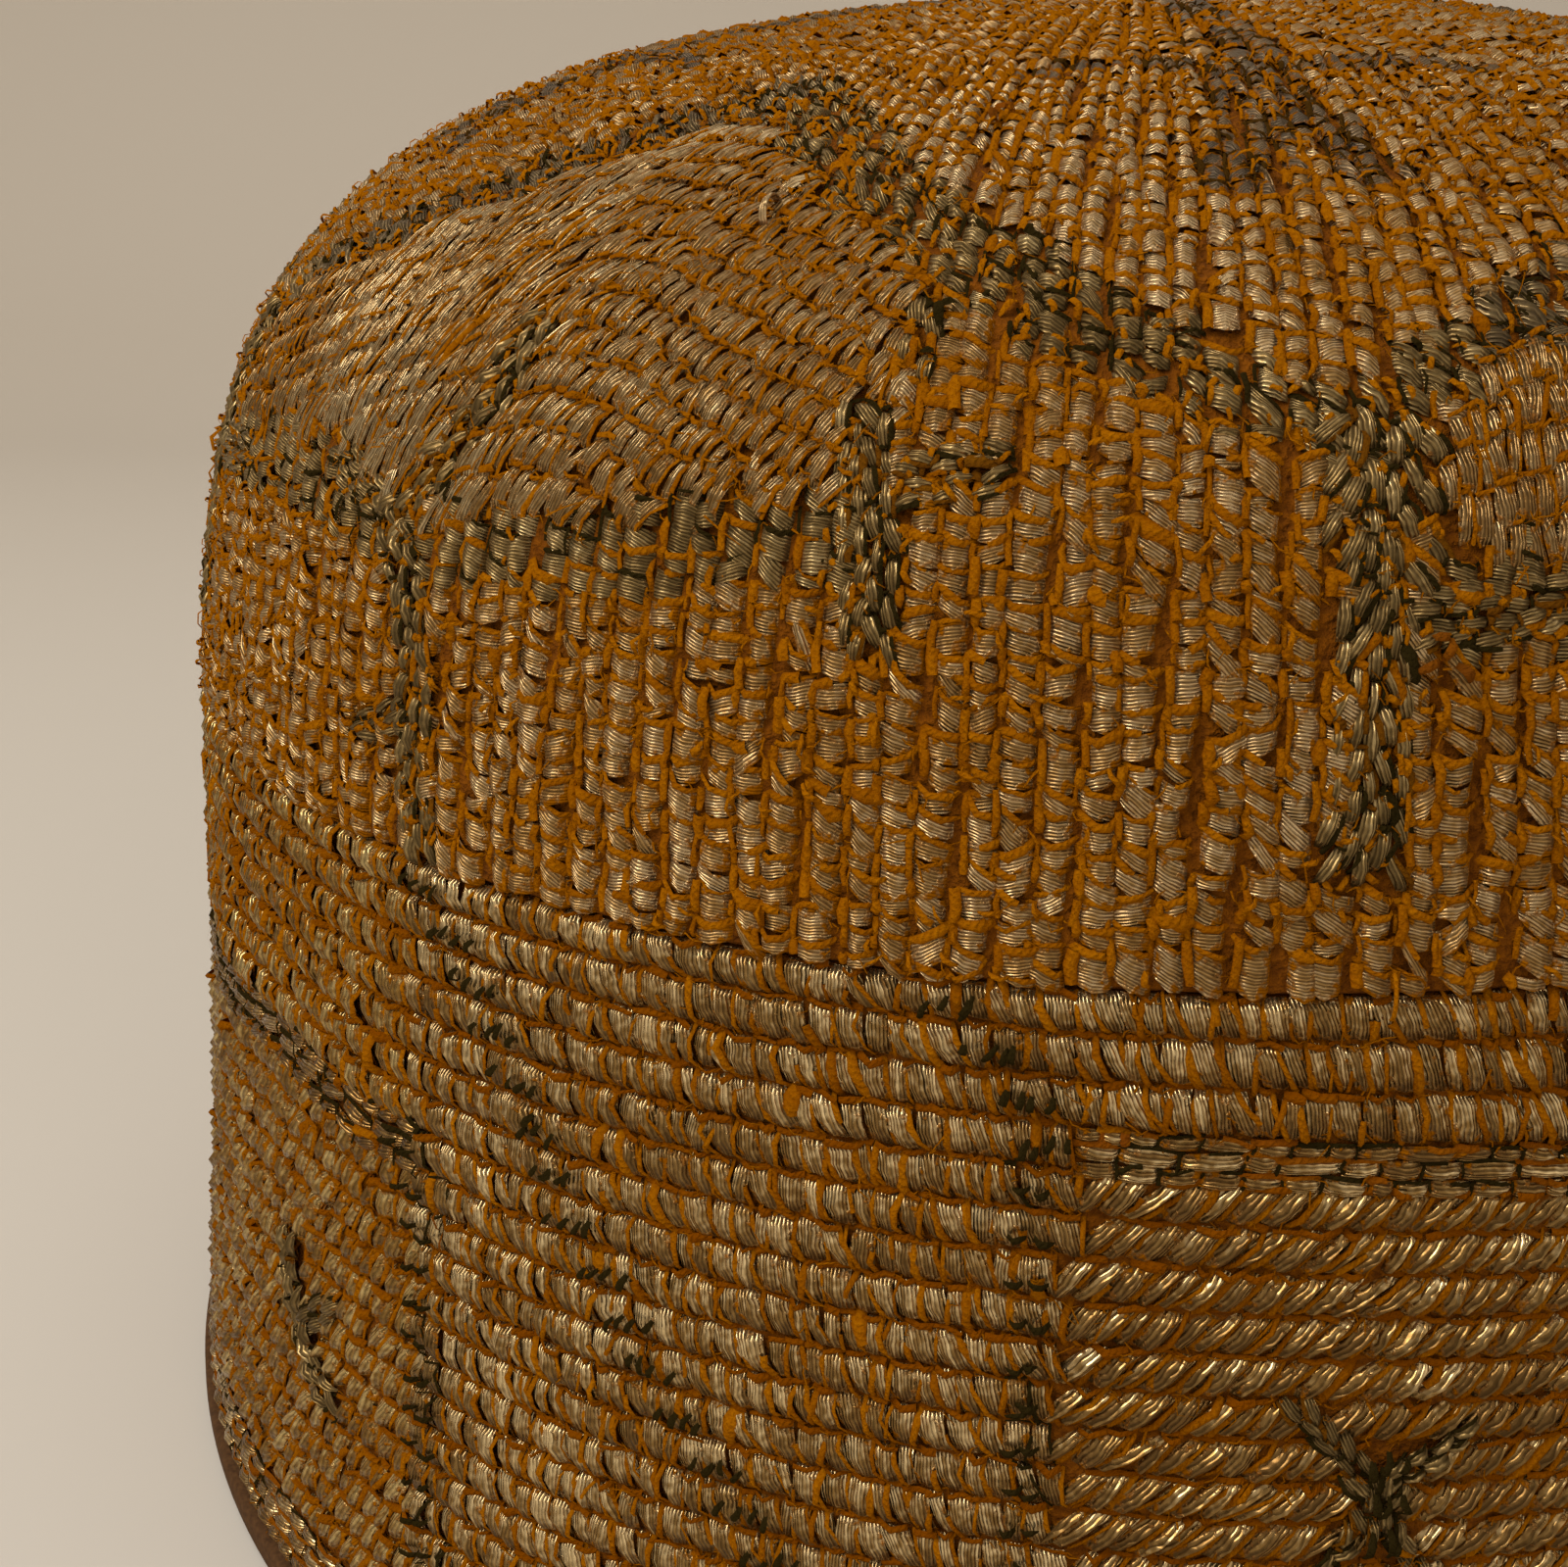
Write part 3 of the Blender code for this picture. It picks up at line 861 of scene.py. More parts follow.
panelRepeats = np.array(panels[0]["repeats"], float)
bandSprays = [
    # as the crown's sprays, with the climb below the seam; one list for each panel
    ([([(9.0, -25.0), (11.0, -28.5), (12.6, -31.5)], 1.6, 1.9, 10, 0.95, 0.20),
      ([(16.5, -27.5), (14.0, -29.8), (12.8, -31.0)], 1.5, 1.8, 10, 0.95, 0.20),
      ([(12.6, -30.0), (12.8, -35.0)], 3.2, 2.0, 30, 1.0, 0.16),
      ([(13.2, -34.0), (15.0, -38.0)], 1.6, 1.9, 10, 0.95, 0.20),
      ([(11.8, -34.0), (10.4, -37.5)], 1.5, 1.8, 10, 0.95, 0.20)], panelRepeats),
    ([([(-43.6, -35.0), (-43.4, -38.5), (-42.4, -42.0)], 2.6, 2.4, 10, 0.95, 0.28),
      ([(-38.6, -38.0), (-40.5, -39.6), (-42.0, -42.0)], 2.2, 2.2, 10, 0.95, 0.28),
      ([(-42.0, -42.0), (-40.6, -44.4), (-38.6, -46.0)], 2.6, 2.4, 10, 0.95, 0.28)], [0.0]),
]
columns = [(-1.5, 1.3, 0.0115), (-31.0, 1.2, 0.0200)]  # azimuth, half width, depth of the top
for sprays, each in bandSprays:
    stripMask |= nearSprays(cords, sprays, each, plan["flowerShare"])
cords = pick(cords, ~stripMask)
inColumn = np.zeros(len(cords["seed"]), bool)
for place, half, top in columns:
    gap = np.min([np.abs(gapTo(cords["azimuth"] - place, r)) for r in repeats], axis=0)
    inColumn |= (gap < half) & (-cords["climb"] > top)
cords["dark"][inColumn] = (rng.random(inColumn.sum()) < plan["columnDark"]) * 1.0
cords["tone"][inColumn] = plan["columnTone"]
cords = jitter(cords, place=0.02, turn=6.0)
leftSide = (cords["azimuth"] > plan["leftFrom"]) & (cords["azimuth"] < plan["leftTo"])
leftSide |= cords["azimuth"] > plan["leftFrom"] + 360
cordsLeft, cords = pick(cords, leftSide), pick(cords, ~leftSide)
laid = jitter(laid, place=0.01, turn=2.0)
laidLeft = jitter(laidLeft, place=0.03, turn=8.0)
flowers = together(*[leafCells(sprays, each, 0.00080) for sprays, each in bandSprays])
flowers = jitter(flowers, place=0.10, size=0.14, turn=10.0)


# Single stitches: the dark lines of the band as rows of dashes, fillings and worn spots
print("single stitches")

dashForm = dict(wander=(0.14, 0.22), turn=10, length=0.2, radius=84.0)


def dashRows(line, perRow, spacing, angle, length, each, radius=0.00023, lift=0.00028):
    # on every cord that the line crosses, perRow dashes side by side
    f = dashForm
    azimuth, depth = np.array(line, float).T
    middles = (cordEdges[:-1] + cordEdges[1:]) / 2 / mm
    middles = middles[(middles > depth[0]) & (middles < depth[-1])]
    i = np.arange(perRow) - (perRow - 1) / 2
    start = np.interp(middles, depth, azimuth)[:, None] + np.degrees(i * spacing / f["radius"])
    start = start + rng.normal(0, f["wander"][0], start.shape)
    down = middles[:, None] + rng.normal(0, f["wander"][1], start.shape)
    a = np.concatenate([start.ravel() + r for r in each])
    c = np.tile(-down.ravel() * mm, len(each))
    n = len(a)
    return stitches(a, c, angle + rng.normal(0, f["turn"], n),
                    length * mm * (1 + rng.normal(0, f["length"], n)), radius, lift)


dashChart = [
    # line of azimuths and depths, dashes in a row, their spacing, angle and length (mm),
    # repeats, and radius and lift where they differ
    ([(-31, 1), (-28, 5), (-26, 10), (-24, 15), (-22, 21), (-19.5, 25), (-17.5, 30), (-15, 34),
      (-12.5, 39), (-5, 60)], 4, 0.95, 70, 1.05, repeats),
    ([(-6, 0.5), (-4, 3), (-2, 7), (-1, 11)], 4, 0.95, 66, 1.10, repeats),
    ([(-1.8, 12), (-1.8, 58)], 2, 1.3, 5, 1.2, repeats),
    ([(-33, 20), (-31.5, 26), (-31, 58)], 2, 1.4, 12, 1.6, repeats),
    ([(12.8, 28.5), (12.9, 36)], 3, 0.85, 78, 1.5, panelRepeats, 0.00026, 0.00045),
]
fillForm = dict(times=2, wander=0.0006, turn=45, length=0.0013, radius=0.00019, lift=-0.00042)
looseForm = dict(share=0.22, side=0.42, length=0.0011, radius=0.00013, lift=0.00012,
                 size=(0.3, 0.25))
details = np.array([
    # azimuth, climb, angle, length and radius (mm), dark, rust: a reddish clump, a small hole,
    # a reddish patch, and a fine reddish thread on the band
    (-8.5, 57.0, 30, 1.2, 0.30, 0.0, 1.0), (-8.9, 56.4, 80, 0.9, 0.26, 0.3, 1.0),
    (-8.1, 57.5, 150, 0.8, 0.22, 0.2, 0.9),
    (-8.3, 38.0, 95, 1.6, 0.34, 1.0, 0.0), (-8.0, 38.6, 40, 1.0, 0.28, 1.0, 0.0),
    (12.4, 18.6, 20, 1.4, 0.30, 0.2, 0.9), (13.1, 19.4, 75, 1.3, 0.28, 0.1, 0.8),
    (13.9, 18.2, 130, 1.2, 0.26, 0.3, 1.0), (12.9, 20.1, 0, 1.0, 0.24, 0.2, 0.9),
    (-29.8, -24.6, 100, 1.6, 0.12, 0.2, 1.0), (-29.5, -26.2, 95, 1.6, 0.12, 0.2, 1.0),
    (-29.2, -27.6, 98, 1.4, 0.12, 0.2, 1.0),
])


def filling(cells):
    # short orange stitches at all angles that close the wall below the sprays
    f = fillForm
    cells = {key: np.tile(value, f["times"]) for key, value in cells.items()}
    n = len(cells["seed"])
    step = rng.normal(0, f["wander"], n)
    azimuth, climb = shifted(cells["azimuth"], cells["climb"], 90.0, step)
    climb = climb + rng.normal(0, f["wander"], n)
    return stitches(azimuth, climb, 90 + rng.normal(0, f["turn"], n), f["length"], f["radius"],
                    f["lift"], 0.0)


def looseStitches(cells):
    # short orange stitches at any angle that lie over the bundles and blur their edges
    f = looseForm
    chosen = pick(cells, rng.random(len(cells["seed"])) < f["share"])
    n = len(chosen["seed"])
    side = rng.choice([-1.0, 1.0], n) * chosen["width"] * f["side"]
    azimuth, climb = shifted(chosen["azimuth"], chosen["climb"], chosen["strand"] - 90.0, side)
    return stitches(azimuth, climb, rng.uniform(0, 180, n),
                    f["length"] * (1 + rng.normal(0, f["size"][0], n)),
                    f["radius"] * (1 + rng.normal(0, f["size"][1], n)), f["lift"], 0.0)


def detailStitches(rows):
    azimuth, climb, angle, length, radius, dark, rust = rows.T
    return stitches(azimuth, climb * mm, angle, length * mm, radius * mm, 0.00030, dark, rust)


darkBand = joined(*[dashRows(*row) for row in dashChart])
crownFilling = joined(filling(fillCells), detailStitches(details[details[:, 1] > 0]))
darkBand = joined(darkBand, detailStitches(details[details[:, 1] < 0]))
ribStitches = looseStitches(ribs)


# Materials
print("materials")


def shaderNodes(name):
    mat = bpy.data.materials.new(name)
    mat.use_nodes = True
    return mat, mat.node_tree, mat.node_tree.nodes["Principled BSDF"]


def plug(tree, socket, value):
    # a socket takes another node's output or a plain value
    if isinstance(value, bpy.types.NodeSocket):
        tree.links.new(value, socket)
    else:
        socket.default_value = value


def addNode(tree, kind, links=(), **settings):
    # links is a list of (socket of this node, value or source socket)
    node = tree.nodes.new(kind)
    for key, value in settings.items():
        setattr(node, key, value)
    for socket, value in links:
        plug(tree, node.inputs[socket], value)
    return node


def mathNode(tree, operation, *values, clamp=False):
    return addNode(tree, "ShaderNodeMath", enumerate(values), operation=operation,
                   use_clamp=clamp).outputs[0]


def sums(tree):
    # add, less and times for one material, each giving the result's socket
    return [partial(mathNode, tree, operation) for operation in ("ADD", "SUBTRACT", "MULTIPLY")]


def mixColor(tree, share, a, b):
    return addNode(tree, "ShaderNodeMix", [(0, share), (6, a), (7, b)], data_type="RGBA").outputs[2]


def mapRange(tree, value, **ends):
    # from low and high to start and end, which are 0 and 1 where they aren't given
    sockets = dict(low=1, high=2, start=3, end=4)
    links = [(0, value)] + [(sockets[key], number) for key, number in ends.items()]
    return addNode(tree, "ShaderNodeMapRange", links).outputs[0]


def noiseNode(tree, place, scale, detail):
    links = [("Vector", place), ("Scale", scale), ("Detail", detail)]
    return addNode(tree, "ShaderNodeTexNoise", links).outputs[0]


def fillShader(tree, shader, height, distance, sockets):
    # fills the shader's sockets, and bends its normal by the height
    for socket, value in sockets.items():
        plug(tree, shader.inputs[socket], value)
    links = [("Height", height), ("Strength", 1.0), ("Distance", distance)]
    plug(tree, shader.inputs["Normal"], addNode(tree, "ShaderNodeBump", links).outputs[0])


def objectPlace(tree):
    return addNode(tree, "ShaderNodeTexCoord").outputs["Object"]


def threadMap(tree):
    # the parts of the thread map and of the cell's colour
    uv = addNode(tree, "ShaderNodeUVMap", uv_map="threadMap").outputs[0]
    cell = addNode(tree, "ShaderNodeAttribute", attribute_name="cell", attribute_type="GEOMETRY")
    return (addNode(tree, "ShaderNodeSeparateXYZ", [(0, uv)]).outputs,
            addNode(tree, "ShaderNodeSeparateColor", [(0, cell.outputs["Color"])]).outputs)


goldFinish = dict(
    bright=(0.55, 0.385, 0.195, 1), worn=(0.34, 0.196, 0.064, 1), tarnish=(0.21, 0.108, 0.026, 1),
    violet=(0.092, 0.066, 0.040, 1), fibre=(0.26, 0.084, 0.0012, 1), fuzz=0.83,
    roughness=(0.26, 0.46), ridge=0.00009, sway=0.8, swayScale=1100.0,
    patch=0.9, patchScale=110.0, strandTone=0.5, fleckTone=0.9, fleckScale=2300.0, fleck=0.7,
    toneShift=1.2, wornAt=0.45, grooveTo=0.6, grooveShade=0.66,
    edge=0.62, wispScale=1900.0, wispHeight=2.5, brightFuzz=0.20, fuzzEdge=6.0, fuzzRough=0.5,
    metal=0.85, specular=0.5,
)


def goldMaterial(name, **change):
    # strands are |sin| ridges across the bundle, and a noise bends them to and fro
    f = {**goldFinish, **change}
    mat, tree, shader = shaderNodes(name)
    add, less, times = sums(tree)
    uv, cell = threadMap(tree)
    place = objectPlace(tree)
    across = add(uv[0], times(noiseNode(tree, place, f["swayScale"], 0.0), f["sway"]))
    ridge = mathNode(tree, "ABSOLUTE", mathNode(tree, "SINE", times(across, math.pi)))
    strand = mathNode(tree, "FLOOR", across)
    chance = addNode(tree, "ShaderNodeTexWhiteNoise", [("W", strand)], noise_dimensions="1D")
    fleck = noiseNode(tree, place, f["fleckScale"], 0.0)
    tone = add(cell[0], times(noiseNode(tree, place, f["patchScale"], 1.0), f["patch"]))
    tone = add(tone, times(chance.outputs[0], f["strandTone"]))
    tone = add(tone, times(fleck, f["fleckTone"]))
    tone = less(tone, f["toneShift"], clamp=True)
    ramp = addNode(tree, "ShaderNodeValToRGB", [(0, tone)])
    ramp.color_ramp.elements[0].color = f["tarnish"]
    ramp.color_ramp.elements[1].color = f["bright"]
    ramp.color_ramp.elements.new(f["wornAt"]).color = f["worn"]
    color = mixColor(tree, cell[1], ramp.outputs[0], f["violet"])
    # painted shade: the colour is darkened in the grooves between the strands
    paintedGrooveShade = mapRange(tree, ridge, low=0.0, high=f["grooveTo"], start=f["grooveShade"], end=1.0)
    shaded = addNode(tree, "ShaderNodeVectorMath", [(0, color)], operation="SCALE")
    plug(tree, shaded.inputs["Scale"], paintedGrooveShade)
    # orange fibres creep over the bundle's edges, most where the metal is dull
    wisps = noiseNode(tree, place, f["wispScale"], 2.0)
    limit = add(times(tone, f["brightFuzz"]), f["fuzz"])
    fuzzy = less(add(times(cell[2], f["edge"]), wisps), limit)
    fuzzy = times(fuzzy, f["fuzzEdge"], clamp=True)
    clean = less(1.0, fuzzy)
    smooth, dull = f["roughness"]
    rough = mapRange(tree, tone, start=dull, end=smooth)
    height = add(ridge, times(fleck, f["fleck"]))
    height = add(height, times(times(wisps, fuzzy), f["wispHeight"]))
    fillShader(tree, shader, height, f["ridge"], {
        "Base Color": mixColor(tree, fuzzy, shaded.outputs[0], f["fibre"]),
        "Metallic": times(clean, f["metal"]), "Specular IOR Level": times(clean, f["specular"]),
        "Roughness": add(rough, times(fuzzy, f["fuzzRough"]), clamp=True)})
    return mat


threadFinish = dict(
    # light and shade are the thread lit and in painted shade, deep its deepest painted shade
    light=(0.38, 0.134, 0.0014, 1), shade=(0.23, 0.070, 0.0008, 1), deep=(0.17, 0.046, 0.0005, 1),
    dark=(0.020, 0.0135, 0.0035, 1), rust=(0.175, 0.048, 0.003, 1), roughness=0.9,
    fibreScale=5200.0, lumpScale=1500.0, plyTurns=14.0, plySlant=6.0, plyHeight=0.07,
    shadeFrom=0.28, lightTo=0.74, sideDeep=0.6, height=0.00030, sheen=0.02, sheenRough=0.5,
)


def threadMaterial(name):
    # soft twisted thread: slanting plies and loose fibres, with painted light and shade on its plies
    # and edges and painted shade set stitch by stitch
    f = threadFinish
    mat, tree, shader = shaderNodes(name)
    add, less, times = sums(tree)
    uv, cell = threadMap(tree)
    place = objectPlace(tree)
    ply = mathNode(tree, "SINE", add(times(uv[1], f["plyTurns"]), times(uv[0], f["plySlant"])))
    fibre, lumps = (noiseNode(tree, place, f[key], 1.0) for key in ("fibreScale", "lumpScale"))
    height = add(times(ply, f["plyHeight"]), times(add(fibre, lumps), 0.5))
    # painted light and shade: the thread's colour is lighter on its raised plies and fibres and
    # darker in their hollows
    share = mapRange(tree, height, low=f["shadeFrom"], high=f["lightTo"])
    color = mixColor(tree, share, f["shade"], f["light"])
    # painted shade: the colour darkens towards both edges of the thread's section
    side = mathNode(tree, "ABSOLUTE", less(times(uv[0], 2.0), 1.0))
    side = times(mathNode(tree, "POWER", side, 3.0), f["sideDeep"])
    # painted shade set stitch by stitch, deepest in the valleys, with the edge shade above
    color = mixColor(tree, add(cell[2], side, clamp=True), color, f["deep"])
    color = mixColor(tree, cell[1], color, f["rust"])
    color = mixColor(tree, cell[0], color, f["dark"])
    fillShader(tree, shader, height, f["height"], {
        "Base Color": color, "Roughness": f["roughness"], "Specular IOR Level": 0.0,
        "Sheen Weight": f["sheen"], "Sheen Roughness": f["sheenRough"], "Sheen Tint": f["light"]})
    return mat


# the ground cloth's own orange is darkened well below the thread's, partly painted shade, so that
# the gaps between bundles read as shaded valleys
shadedGroundFinish = dict(light=(0.21, 0.062, 0.0008, 1), shade=(0.10, 0.027, 0.0004, 1),
                    scale=1700.0, roughness=0.95, depth=0.0008)
bindingFinish = dict(light=(0.095, 0.045, 0.017, 1), shade=(0.050, 0.024, 0.010, 1),
                     scale=2200.0, roughness=0.9, depth=0.00008)


def clothMaterial(name, light, shade, scale, roughness, depth, specular=0.1, ends=(0.3, 0.7)):
    # plain cloth: two colours mixed by noise, with fibres in the bump
    mat, tree, shader = shaderNodes(name)
    noise = noiseNode(tree, objectPlace(tree), scale, 3.0)
    color = mixColor(tree, mapRange(tree, noise, low=ends[0], high=ends[1]), shade, light)
    fillShader(tree, shader, noise, depth, {
        "Base Color": color, "Roughness": roughness, "Specular IOR Level": specular})
    return mat


goldThread = goldMaterial("laid_gold_thread")
bandGold = goldMaterial(
    "laid_gold_of_band", bright=(0.66, 0.48, 0.235, 1), worn=(0.27, 0.152, 0.043, 1),
    tarnish=(0.145, 0.074, 0.018, 1), fuzz=0.93, roughness=(0.12, 0.32), fleck=0.25)
leftGold = goldMaterial(
    "laid_gold_of_left_band", bright=(0.56, 0.40, 0.160, 1), worn=(0.29, 0.160, 0.038, 1),
    tarnish=(0.16, 0.080, 0.016, 1), fuzz=0.80, roughness=(0.17, 0.35), fleck=0.4)
motifGold = goldMaterial(
    "laid_gold_of_motifs", bright=(0.48, 0.345, 0.155, 1), worn=(0.250, 0.160, 0.055, 1),
    tarnish=(0.130, 0.080, 0.025, 1), fuzz=1.10)
fanGold = goldMaterial(
    "laid_gold_of_fan", bright=(0.60, 0.44, 0.225, 1), worn=(0.34, 0.205, 0.075, 1),
    fuzz=0.93, roughness=(0.15, 0.34))
softThread = threadMaterial("couching_thread")
shadedGroundCloth = clothMaterial("ground_cloth", **shadedGroundFinish)
bindingCloth = clothMaterial("binding_cloth", **bindingFinish)


# Ground cloth under the bundles, a closed wall each for crown and band

groundForm = dict(
    sink=0.00002, around=150, crownRows=48, crownInnerRows=24, outerFrom=0.0006, innerFrom=0.0012,
    edgeLift=0.00015, edgeIn=0.0003, bandRows=40, bandInnerEach=10, bandFrom=0.00015,
)


def besideCurve(climb, out):
    # radius and height of the wall's curve, moved along its normal
    r, z, outR, outZ = (onCurve(climb, k) for k in (1, 2, 3, 4))
    return np.stack([np.maximum(r + out * outR, 0), z + out * outZ], -1)


def crownWall(form):
    # outside from the top down to the seam, a flat edge, and inside back up to the top
    f = groundForm
    outside = besideCurve(np.linspace(topClimb, f["outerFrom"], f["crownRows"]),
                          ribForm["cells"]["base"] - f["sink"])
    inside = besideCurve(np.linspace(f["innerFrom"], topClimb, f["crownInnerRows"]), -form["wall"])
    outside[0, 0] = inside[-1, 0] = 0.0
    height = form["seamHeight"] + f["edgeLift"]
    edge = np.array([(outside[-1, 0] - f["edgeIn"], height), (inside[0, 0], height)])
    return np.concatenate([outside, edge, inside])


def bandWall(form):
    # outside from the seam down to the binding, and inside back up
    f = groundForm
    climb = -np.linspace(f["bandFrom"], cordEdges[-1], f["bandRows"] + 1)
    sink = bandPlan["cells"]["base"] - f["sink"]
    outside = np.stack([radiusAt(climb) + sink, onCurve(climb, 2)], -1)
    climb = climb[::-f["bandInnerEach"]]
    inside = np.stack([radiusAt(climb) - form["wall"], onCurve(climb, 2)], -1)
    return np.concatenate([outside, inside])


bindingForm = dict(gap=0.0003, inset=0.0001, corner=0.0006, steps=6, shoulder=0.0003, around=240)


def bindingRing(form):
    # a folded edge: a flat top, a rounded outside and a flat underside
    f = bindingForm
    top = form["seamHeight"] - cordEdges[-1] - f["gap"]
    rim, corner = radiusAt(-form["seamHeight"]), f["corner"]
    outer, inner = rim - f["inset"], rim - form["wall"]
    t = np.radians(np.linspace(0, 90, f["steps"]))
    outside = np.stack([outer - corner + corner * np.cos(t), corner - corner * np.sin(t)], -1)
    inside = np.stack([inner + corner - corner * np.sin(t), corner - corner * np.cos(t)], -1)
    shoulder = [(outer - f["shoulder"] - f["inset"], top), (outer - f["inset"], top - f["shoulder"])]
    return np.concatenate([shoulder, outside, inside, [(inner, top)]])


print("walls")
around = groundForm["around"]
crownGround = turnedPiece("crown_ground", crownWall(hatForm), around, shadedGroundCloth, closed=False)
bandGround = turnedPiece("band_ground", bandWall(hatForm), around, shadedGroundCloth, closed=True)
binding = turnedPiece("edge_binding", bindingRing(hatForm), bindingForm["around"], bindingCloth,
                      closed=True)
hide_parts("crown")
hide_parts("band")
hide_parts("hem_binding")

print("bundles and threads")
zones = dict(
    # crossing radius and lift, share of second crossings, valley radius and lift, hairs per
    # bundle, share of the dark bundles whose crossing is dark too, where the others are rust
    crown_rib=(0.00021, 0.00005, 0.0, 0.00024, 0.00050, 1.2, 1.0),
    crown_zigzag=(0.00019, 0.00004, 0.0, 0.00023, 0.00044, 1.0, 1.0),
    crown_fan=(0.00013, 0.00002, 0.0, 0.00016, 0.00034, 1.4, 1.0),
    crown_top=(0.00020, 0.00008, 0.0, 0.00025, 0.00050, 1.2, 1.0),
    crown_motif=(0.00021, 0.00005, 0.0, 0.00024, 0.00034, 0.8, 1.0),
    band_cord=(0.00017, 0.00004, 0.34, 0.00020, 0.00040, 1.0, 1.0),
    band_left_cord=(0.00021, 0.00005, 0.34, 0.00026, 0.00044, 1.0, 1.0),
    band_strip=(0.00022, 0.00000, 0.0, 0.00021, 0.00012, 0.5, 0.4),
    band_left_strip=(0.00030, 0.00006, 0.0, 0.00026, 0.00020, 0.5, 1.0),
    band_flower=(0.00021, 0.00005, 0.0, 0.00024, 0.00034, 0.8, 1.0),
)
zoneGold = dict(crown_zigzag=motifGold, crown_motif=motifGold, crown_fan=fanGold,
                band_strip=bandGold, band_cord=bandGold, band_left_cord=leftGold,
                band_left_strip=bandGold, band_flower=motifGold)
# how much more painted shade the thread of the valleys gets than that of the crossings
valleyShade = dict(band_cord=0.50, band_left_cord=0.25)
# painted light and shade: how much the metal's tone is raised at the lamp-facing end of its strands
# (up on the band, left on the ribs) and lowered at the other end
zonePaintedLight = dict(band_cord=0.36, band_left_cord=0.30, crown_rib=0.10, crown_fan=0.12)
plainPaintedLight, crossingRust = 0.22, 0.6


def dress(name, cells, *more):
    # the metal bundles of one zone, the thread that crosses them, and that of the valleys
    # with its fuzz
    crossRadius, crossLift, second, sideRadius, sideLift, hairs, keepDark = zones[name]
    gold = makePiece(name + "_bundles", zoneGold.get(name, goldThread),
                     *padMesh(cells, zonePaintedLight.get(name, plainPaintedLight)))
    keeps = rng.random(len(cells["seed"])) < keepDark
    crossed = {**cells, "dark": cells["dark"] * keeps,
               "rust": np.where(keeps, cells["rust"], crossingRust * cells["dark"])}
    crossings = [crossThreads(crossed, crossRadius, crossLift), *more]
    if second:
        crossings.append(crossThreads(cells, crossRadius, crossLift, second, -1.0))
    over = makePiece(name + "_crossings", softThread, *joined(*crossings))
    # the valley threads get extra painted shade
    deep = {**cells, "shade": cells["shade"] + valleyShade.get(name, 0.0)}
    below = joined(sideThreads(deep, sideRadius, sideLift), fuzz(cells, hairs))
    return gold, over, makePiece(name + "_valleys", softThread, *below)


crownPieces = [crownGround]
crownPieces += dress("crown_rib", ribs, ribStitches)
crownPieces += dress("crown_zigzag", zig)
crownPieces += dress("crown_fan", fan)
crownPieces += dress("crown_top", topCells)
crownPieces += dress("crown_motif", leaves, crownFilling)
bandPieces = [bandGround]
bandPieces += dress("band_cord", cords, darkBand)
bandPieces += dress("band_left_cord", cordsLeft)
bandPieces += dress("band_strip", laid)
bandPieces += dress("band_left_strip", laidLeft)
bandPieces += dress("band_flower", flowers)

loopPlan = dict(azimuth=-19.3, climb=0.0455, length=0.0022, arch=0.0012, strands=3,
                radius=0.00011)
endPlan = dict(azimuth=11.6, climb=0.0004, length=0.0028, arch=0.0006, strands=1, radius=0.00013)
archForm = dict(steps=9, gap=0.00024, wallRadius=0.08, sink=0.0002, uneven=0.1, around=9)


def looseEnd(azimuth, climb, length, arch, strands, radius):
    # an arch of a few threads side by side: out by arch * sin, along the wall by length * cos
    f = archForm
    t = np.linspace(0, math.pi, f["steps"])
    k = np.arange(strands)[:, None] - (strands - 1) / 2
    azimuth = azimuth + np.degrees(f["gap"] * k / f["wallRadius"]) + 0 * t
    point, east, up, out = wallFrame(azimuth, climb - np.cos(t) * length / 2 + 0 * k)
    paths = point + (arch * (1 + f["uneven"] * k) * np.sin(t) - f["sink"])[..., None] * out
    return threadMesh(paths, out, np.full(paths.shape[:2], radius),
                      sections=np.linspace(-180, 180, f["around"]), flat=1.0)


points, faces, uv, cell = looseEnd(**loopPlan)
uv[:, 0], cell[:, 0], cell[:, 1] = 0.5, 1.0, 0.0  # one bright strand each
crownPieces.append(makePiece("loose_gold_loop", goldThread, points, faces, uv, cell))
crownPieces.append(makePiece("loose_thread_end", softThread, *looseEnd(**endPlan)))

for piece in crownPieces + bandPieces + [binding]:
    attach(piece, "root")

# Stage: a pale floor that bends up into a backdrop
stagePlan = dict(near=-4.0, bend=0.36, radius=0.22, top=3.0, half=5.0, frontAt=-0.25, backAt=0.45,
                 front=(0.61, 0.585, 0.54, 1), back=(0.43, 0.382, 0.320, 1), roughness=0.9)


def sweepStage(plan):
    # a flat floor, a quarter round of the given radius and an upright wall, equally wide
    t = np.radians(np.linspace(0, 90, 24))
    wall, radius = plan["bend"] + plan["radius"], plan["radius"]
    y = np.concatenate([[plan["near"]], plan["bend"] + radius * np.sin(t), [wall]])
    z = np.concatenate([[0.0], radius * (1 - np.cos(t)), [plan["top"]]])
    sides = [np.column_stack([np.full(len(y), x), y, z]) for x in (-plan["half"], plan["half"])]
    return np.stack(sides, 1).reshape(-1, 3), gridFaces(1, len(y), 2)


def stageMaterial(plan):
    # the floor's colour in front changes to the backdrop's behind the hat
    mat, tree, shader = shaderNodes("pale_floor")
    depth = addNode(tree, "ShaderNodeSeparateXYZ", [(0, objectPlace(tree))]).outputs[1]
    share = mapRange(tree, depth, low=plan["frontAt"], high=plan["backAt"])
    plug(tree, shader.inputs["Base Color"], mixColor(tree, share, plan["front"], plan["back"]))
    plug(tree, shader.inputs["Roughness"], plan["roughness"])
    return mat


print("stage, camera and light")
floor = makePiece("floor", stageMaterial(stagePlan), *sweepStage(stagePlan))

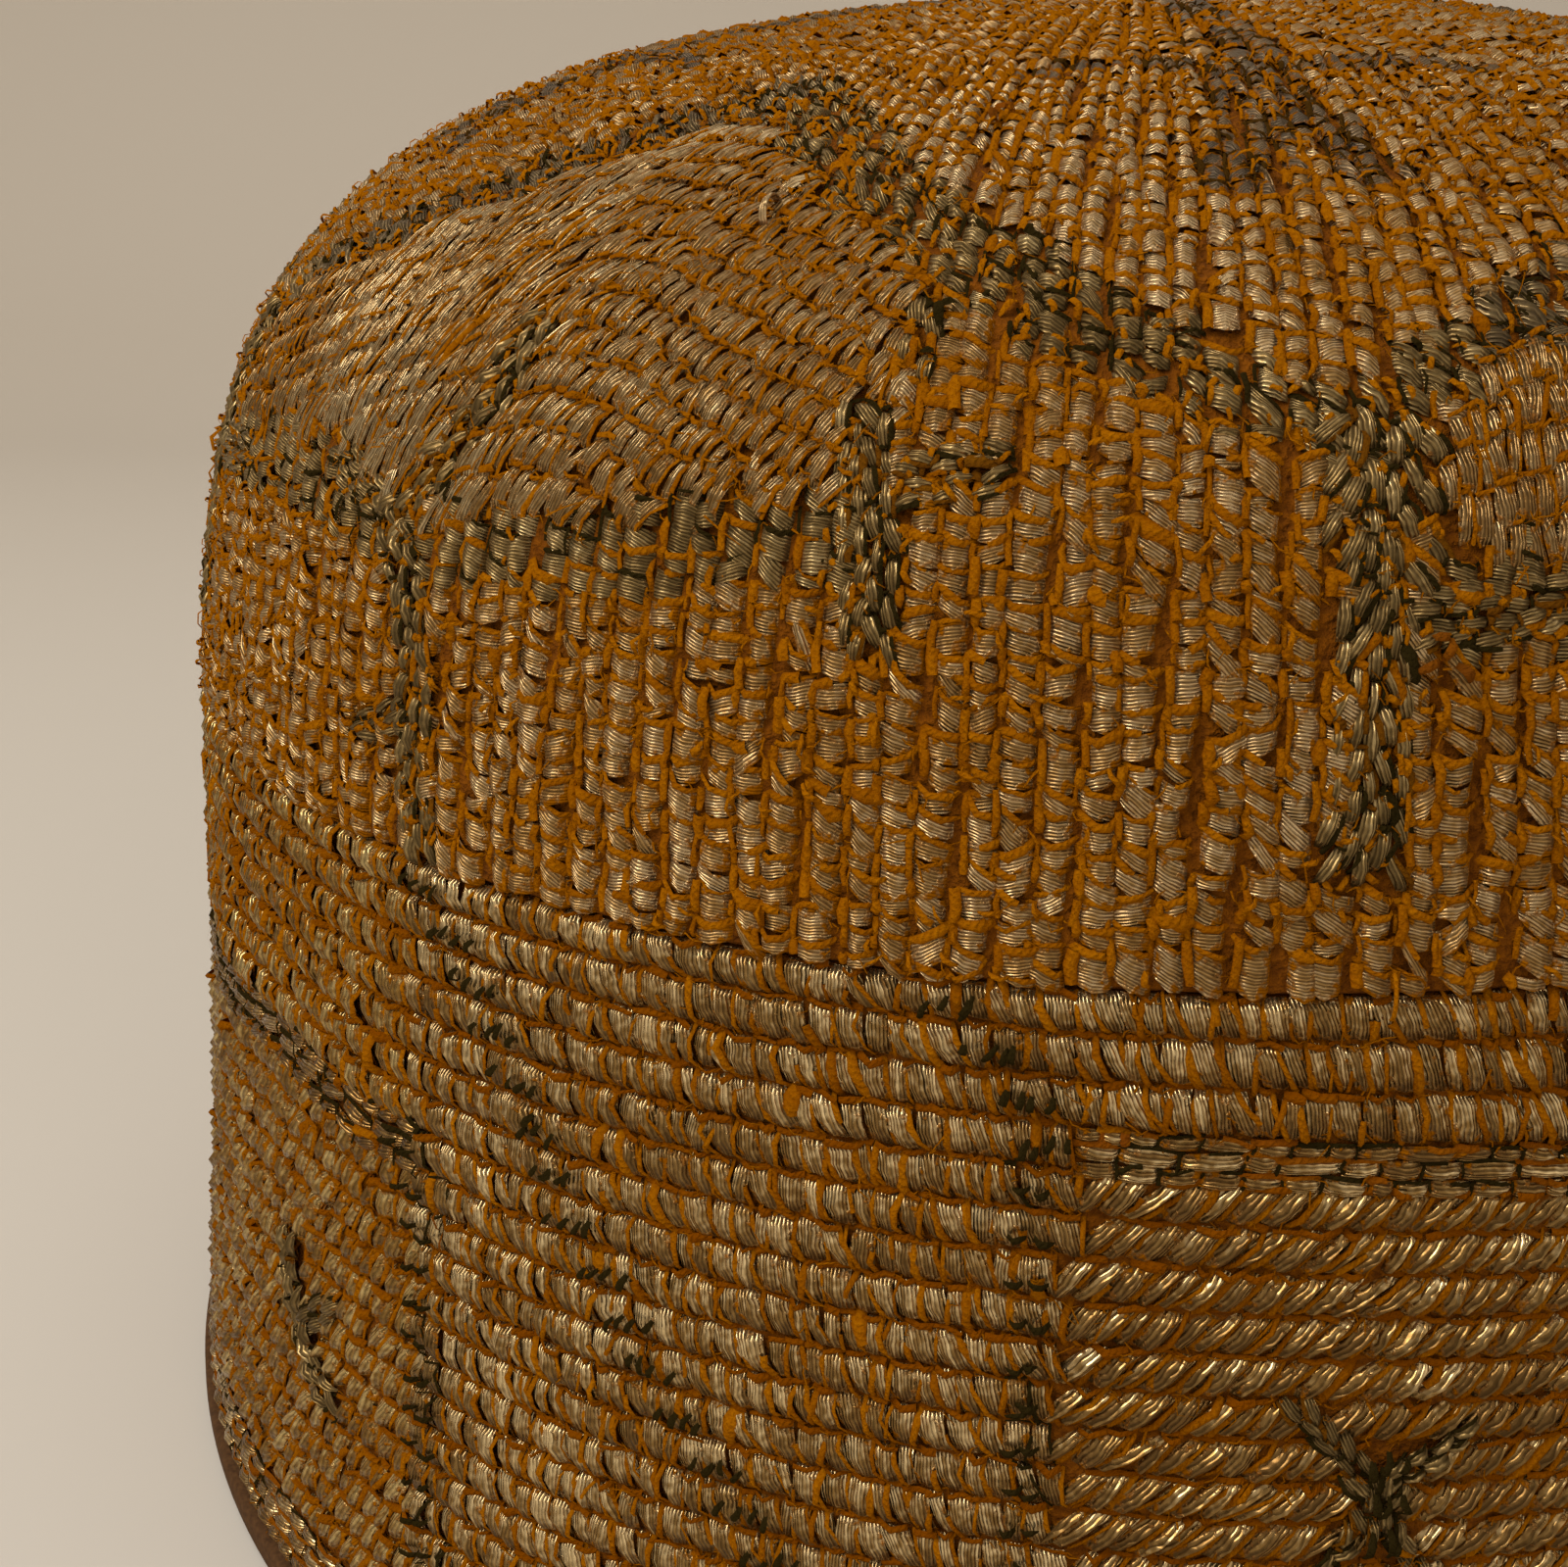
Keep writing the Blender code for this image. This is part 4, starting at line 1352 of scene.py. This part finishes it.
# Camera, from the photo's perspective: 45 mm lens, 18 cm from the hat's axis
cameraPlan = dict(away=0.17977, height=0.11709, yaw=-0.1708, pitch=0.3726, roll=-0.0125,
                  lens=45.0, sensor=36.0, near=0.005)


def placeCamera(plan):
    # looks along yaw and pitch, and is then rolled about that line
    camera = bpy.data.objects.new("camera", bpy.data.cameras.new("camera"))
    bpy.context.scene.collection.objects.link(camera)
    cy, sy, cp, sp = (f(plan[k]) for k in ("yaw", "pitch") for f in (math.cos, math.sin))
    forward = np.array([sy * cp, cy * cp, -sp])
    right = np.array([cy, -sy, 0.0])
    up = np.cross(right, forward)
    cr, sr = math.cos(plan["roll"]), math.sin(plan["roll"])
    matrix = np.eye(4)
    matrix[:3, :3] = np.stack([cr * right + sr * up, cr * up - sr * right, -forward], -1)
    matrix[:3, 3] = 0.0, -plan["away"], plan["height"]
    camera.matrix_world = Matrix(matrix.tolist())
    camera.data.lens = plan["lens"]
    camera.data.sensor_width = plan["sensor"]
    camera.data.clip_start = plan["near"]
    bpy.context.scene.camera = camera


placeCamera(cameraPlan)

lightPlan = [
    # name, place, aim, size, watts, colour
    ("key", (-0.50, -0.41, 0.83), (0, 0, 0.07), 0.48, 6.8, (1.0, 0.94, 0.86)),
    ("fill", (0.7, -0.6, 0.5), (0, 0, 0.07), 0.8, 1.05, (1.0, 0.92, 0.84)),
    ("back", (-0.1, 0.5, 0.9), (0, 0.1, 0.0), 0.8, 3.0, (1.0, 0.95, 0.88)),
]
roomLight = dict(color=(1.0, 0.93, 0.84, 1), strength=0.57)
for name, place, aim, size, watts, color in lightPlan:
    light = bpy.data.lights.new(name, "AREA")
    light.size, light.energy, light.color = size, watts, color
    lamp = bpy.data.objects.new(name, light)
    lamp.location = place
    toAim = Vector(np.array(aim) - np.array(place))
    lamp.rotation_euler = toAim.to_track_quat("-Z", "Y").to_euler()
    bpy.context.scene.collection.objects.link(lamp)

world = bpy.data.worlds.new("room")
world.use_nodes = True
background = world.node_tree.nodes["Background"]
background.inputs[0].default_value = roomLight["color"]
background.inputs[1].default_value = roomLight["strength"]
bpy.context.scene.world = world
bpy.context.scene.view_settings.view_transform = "Standard"
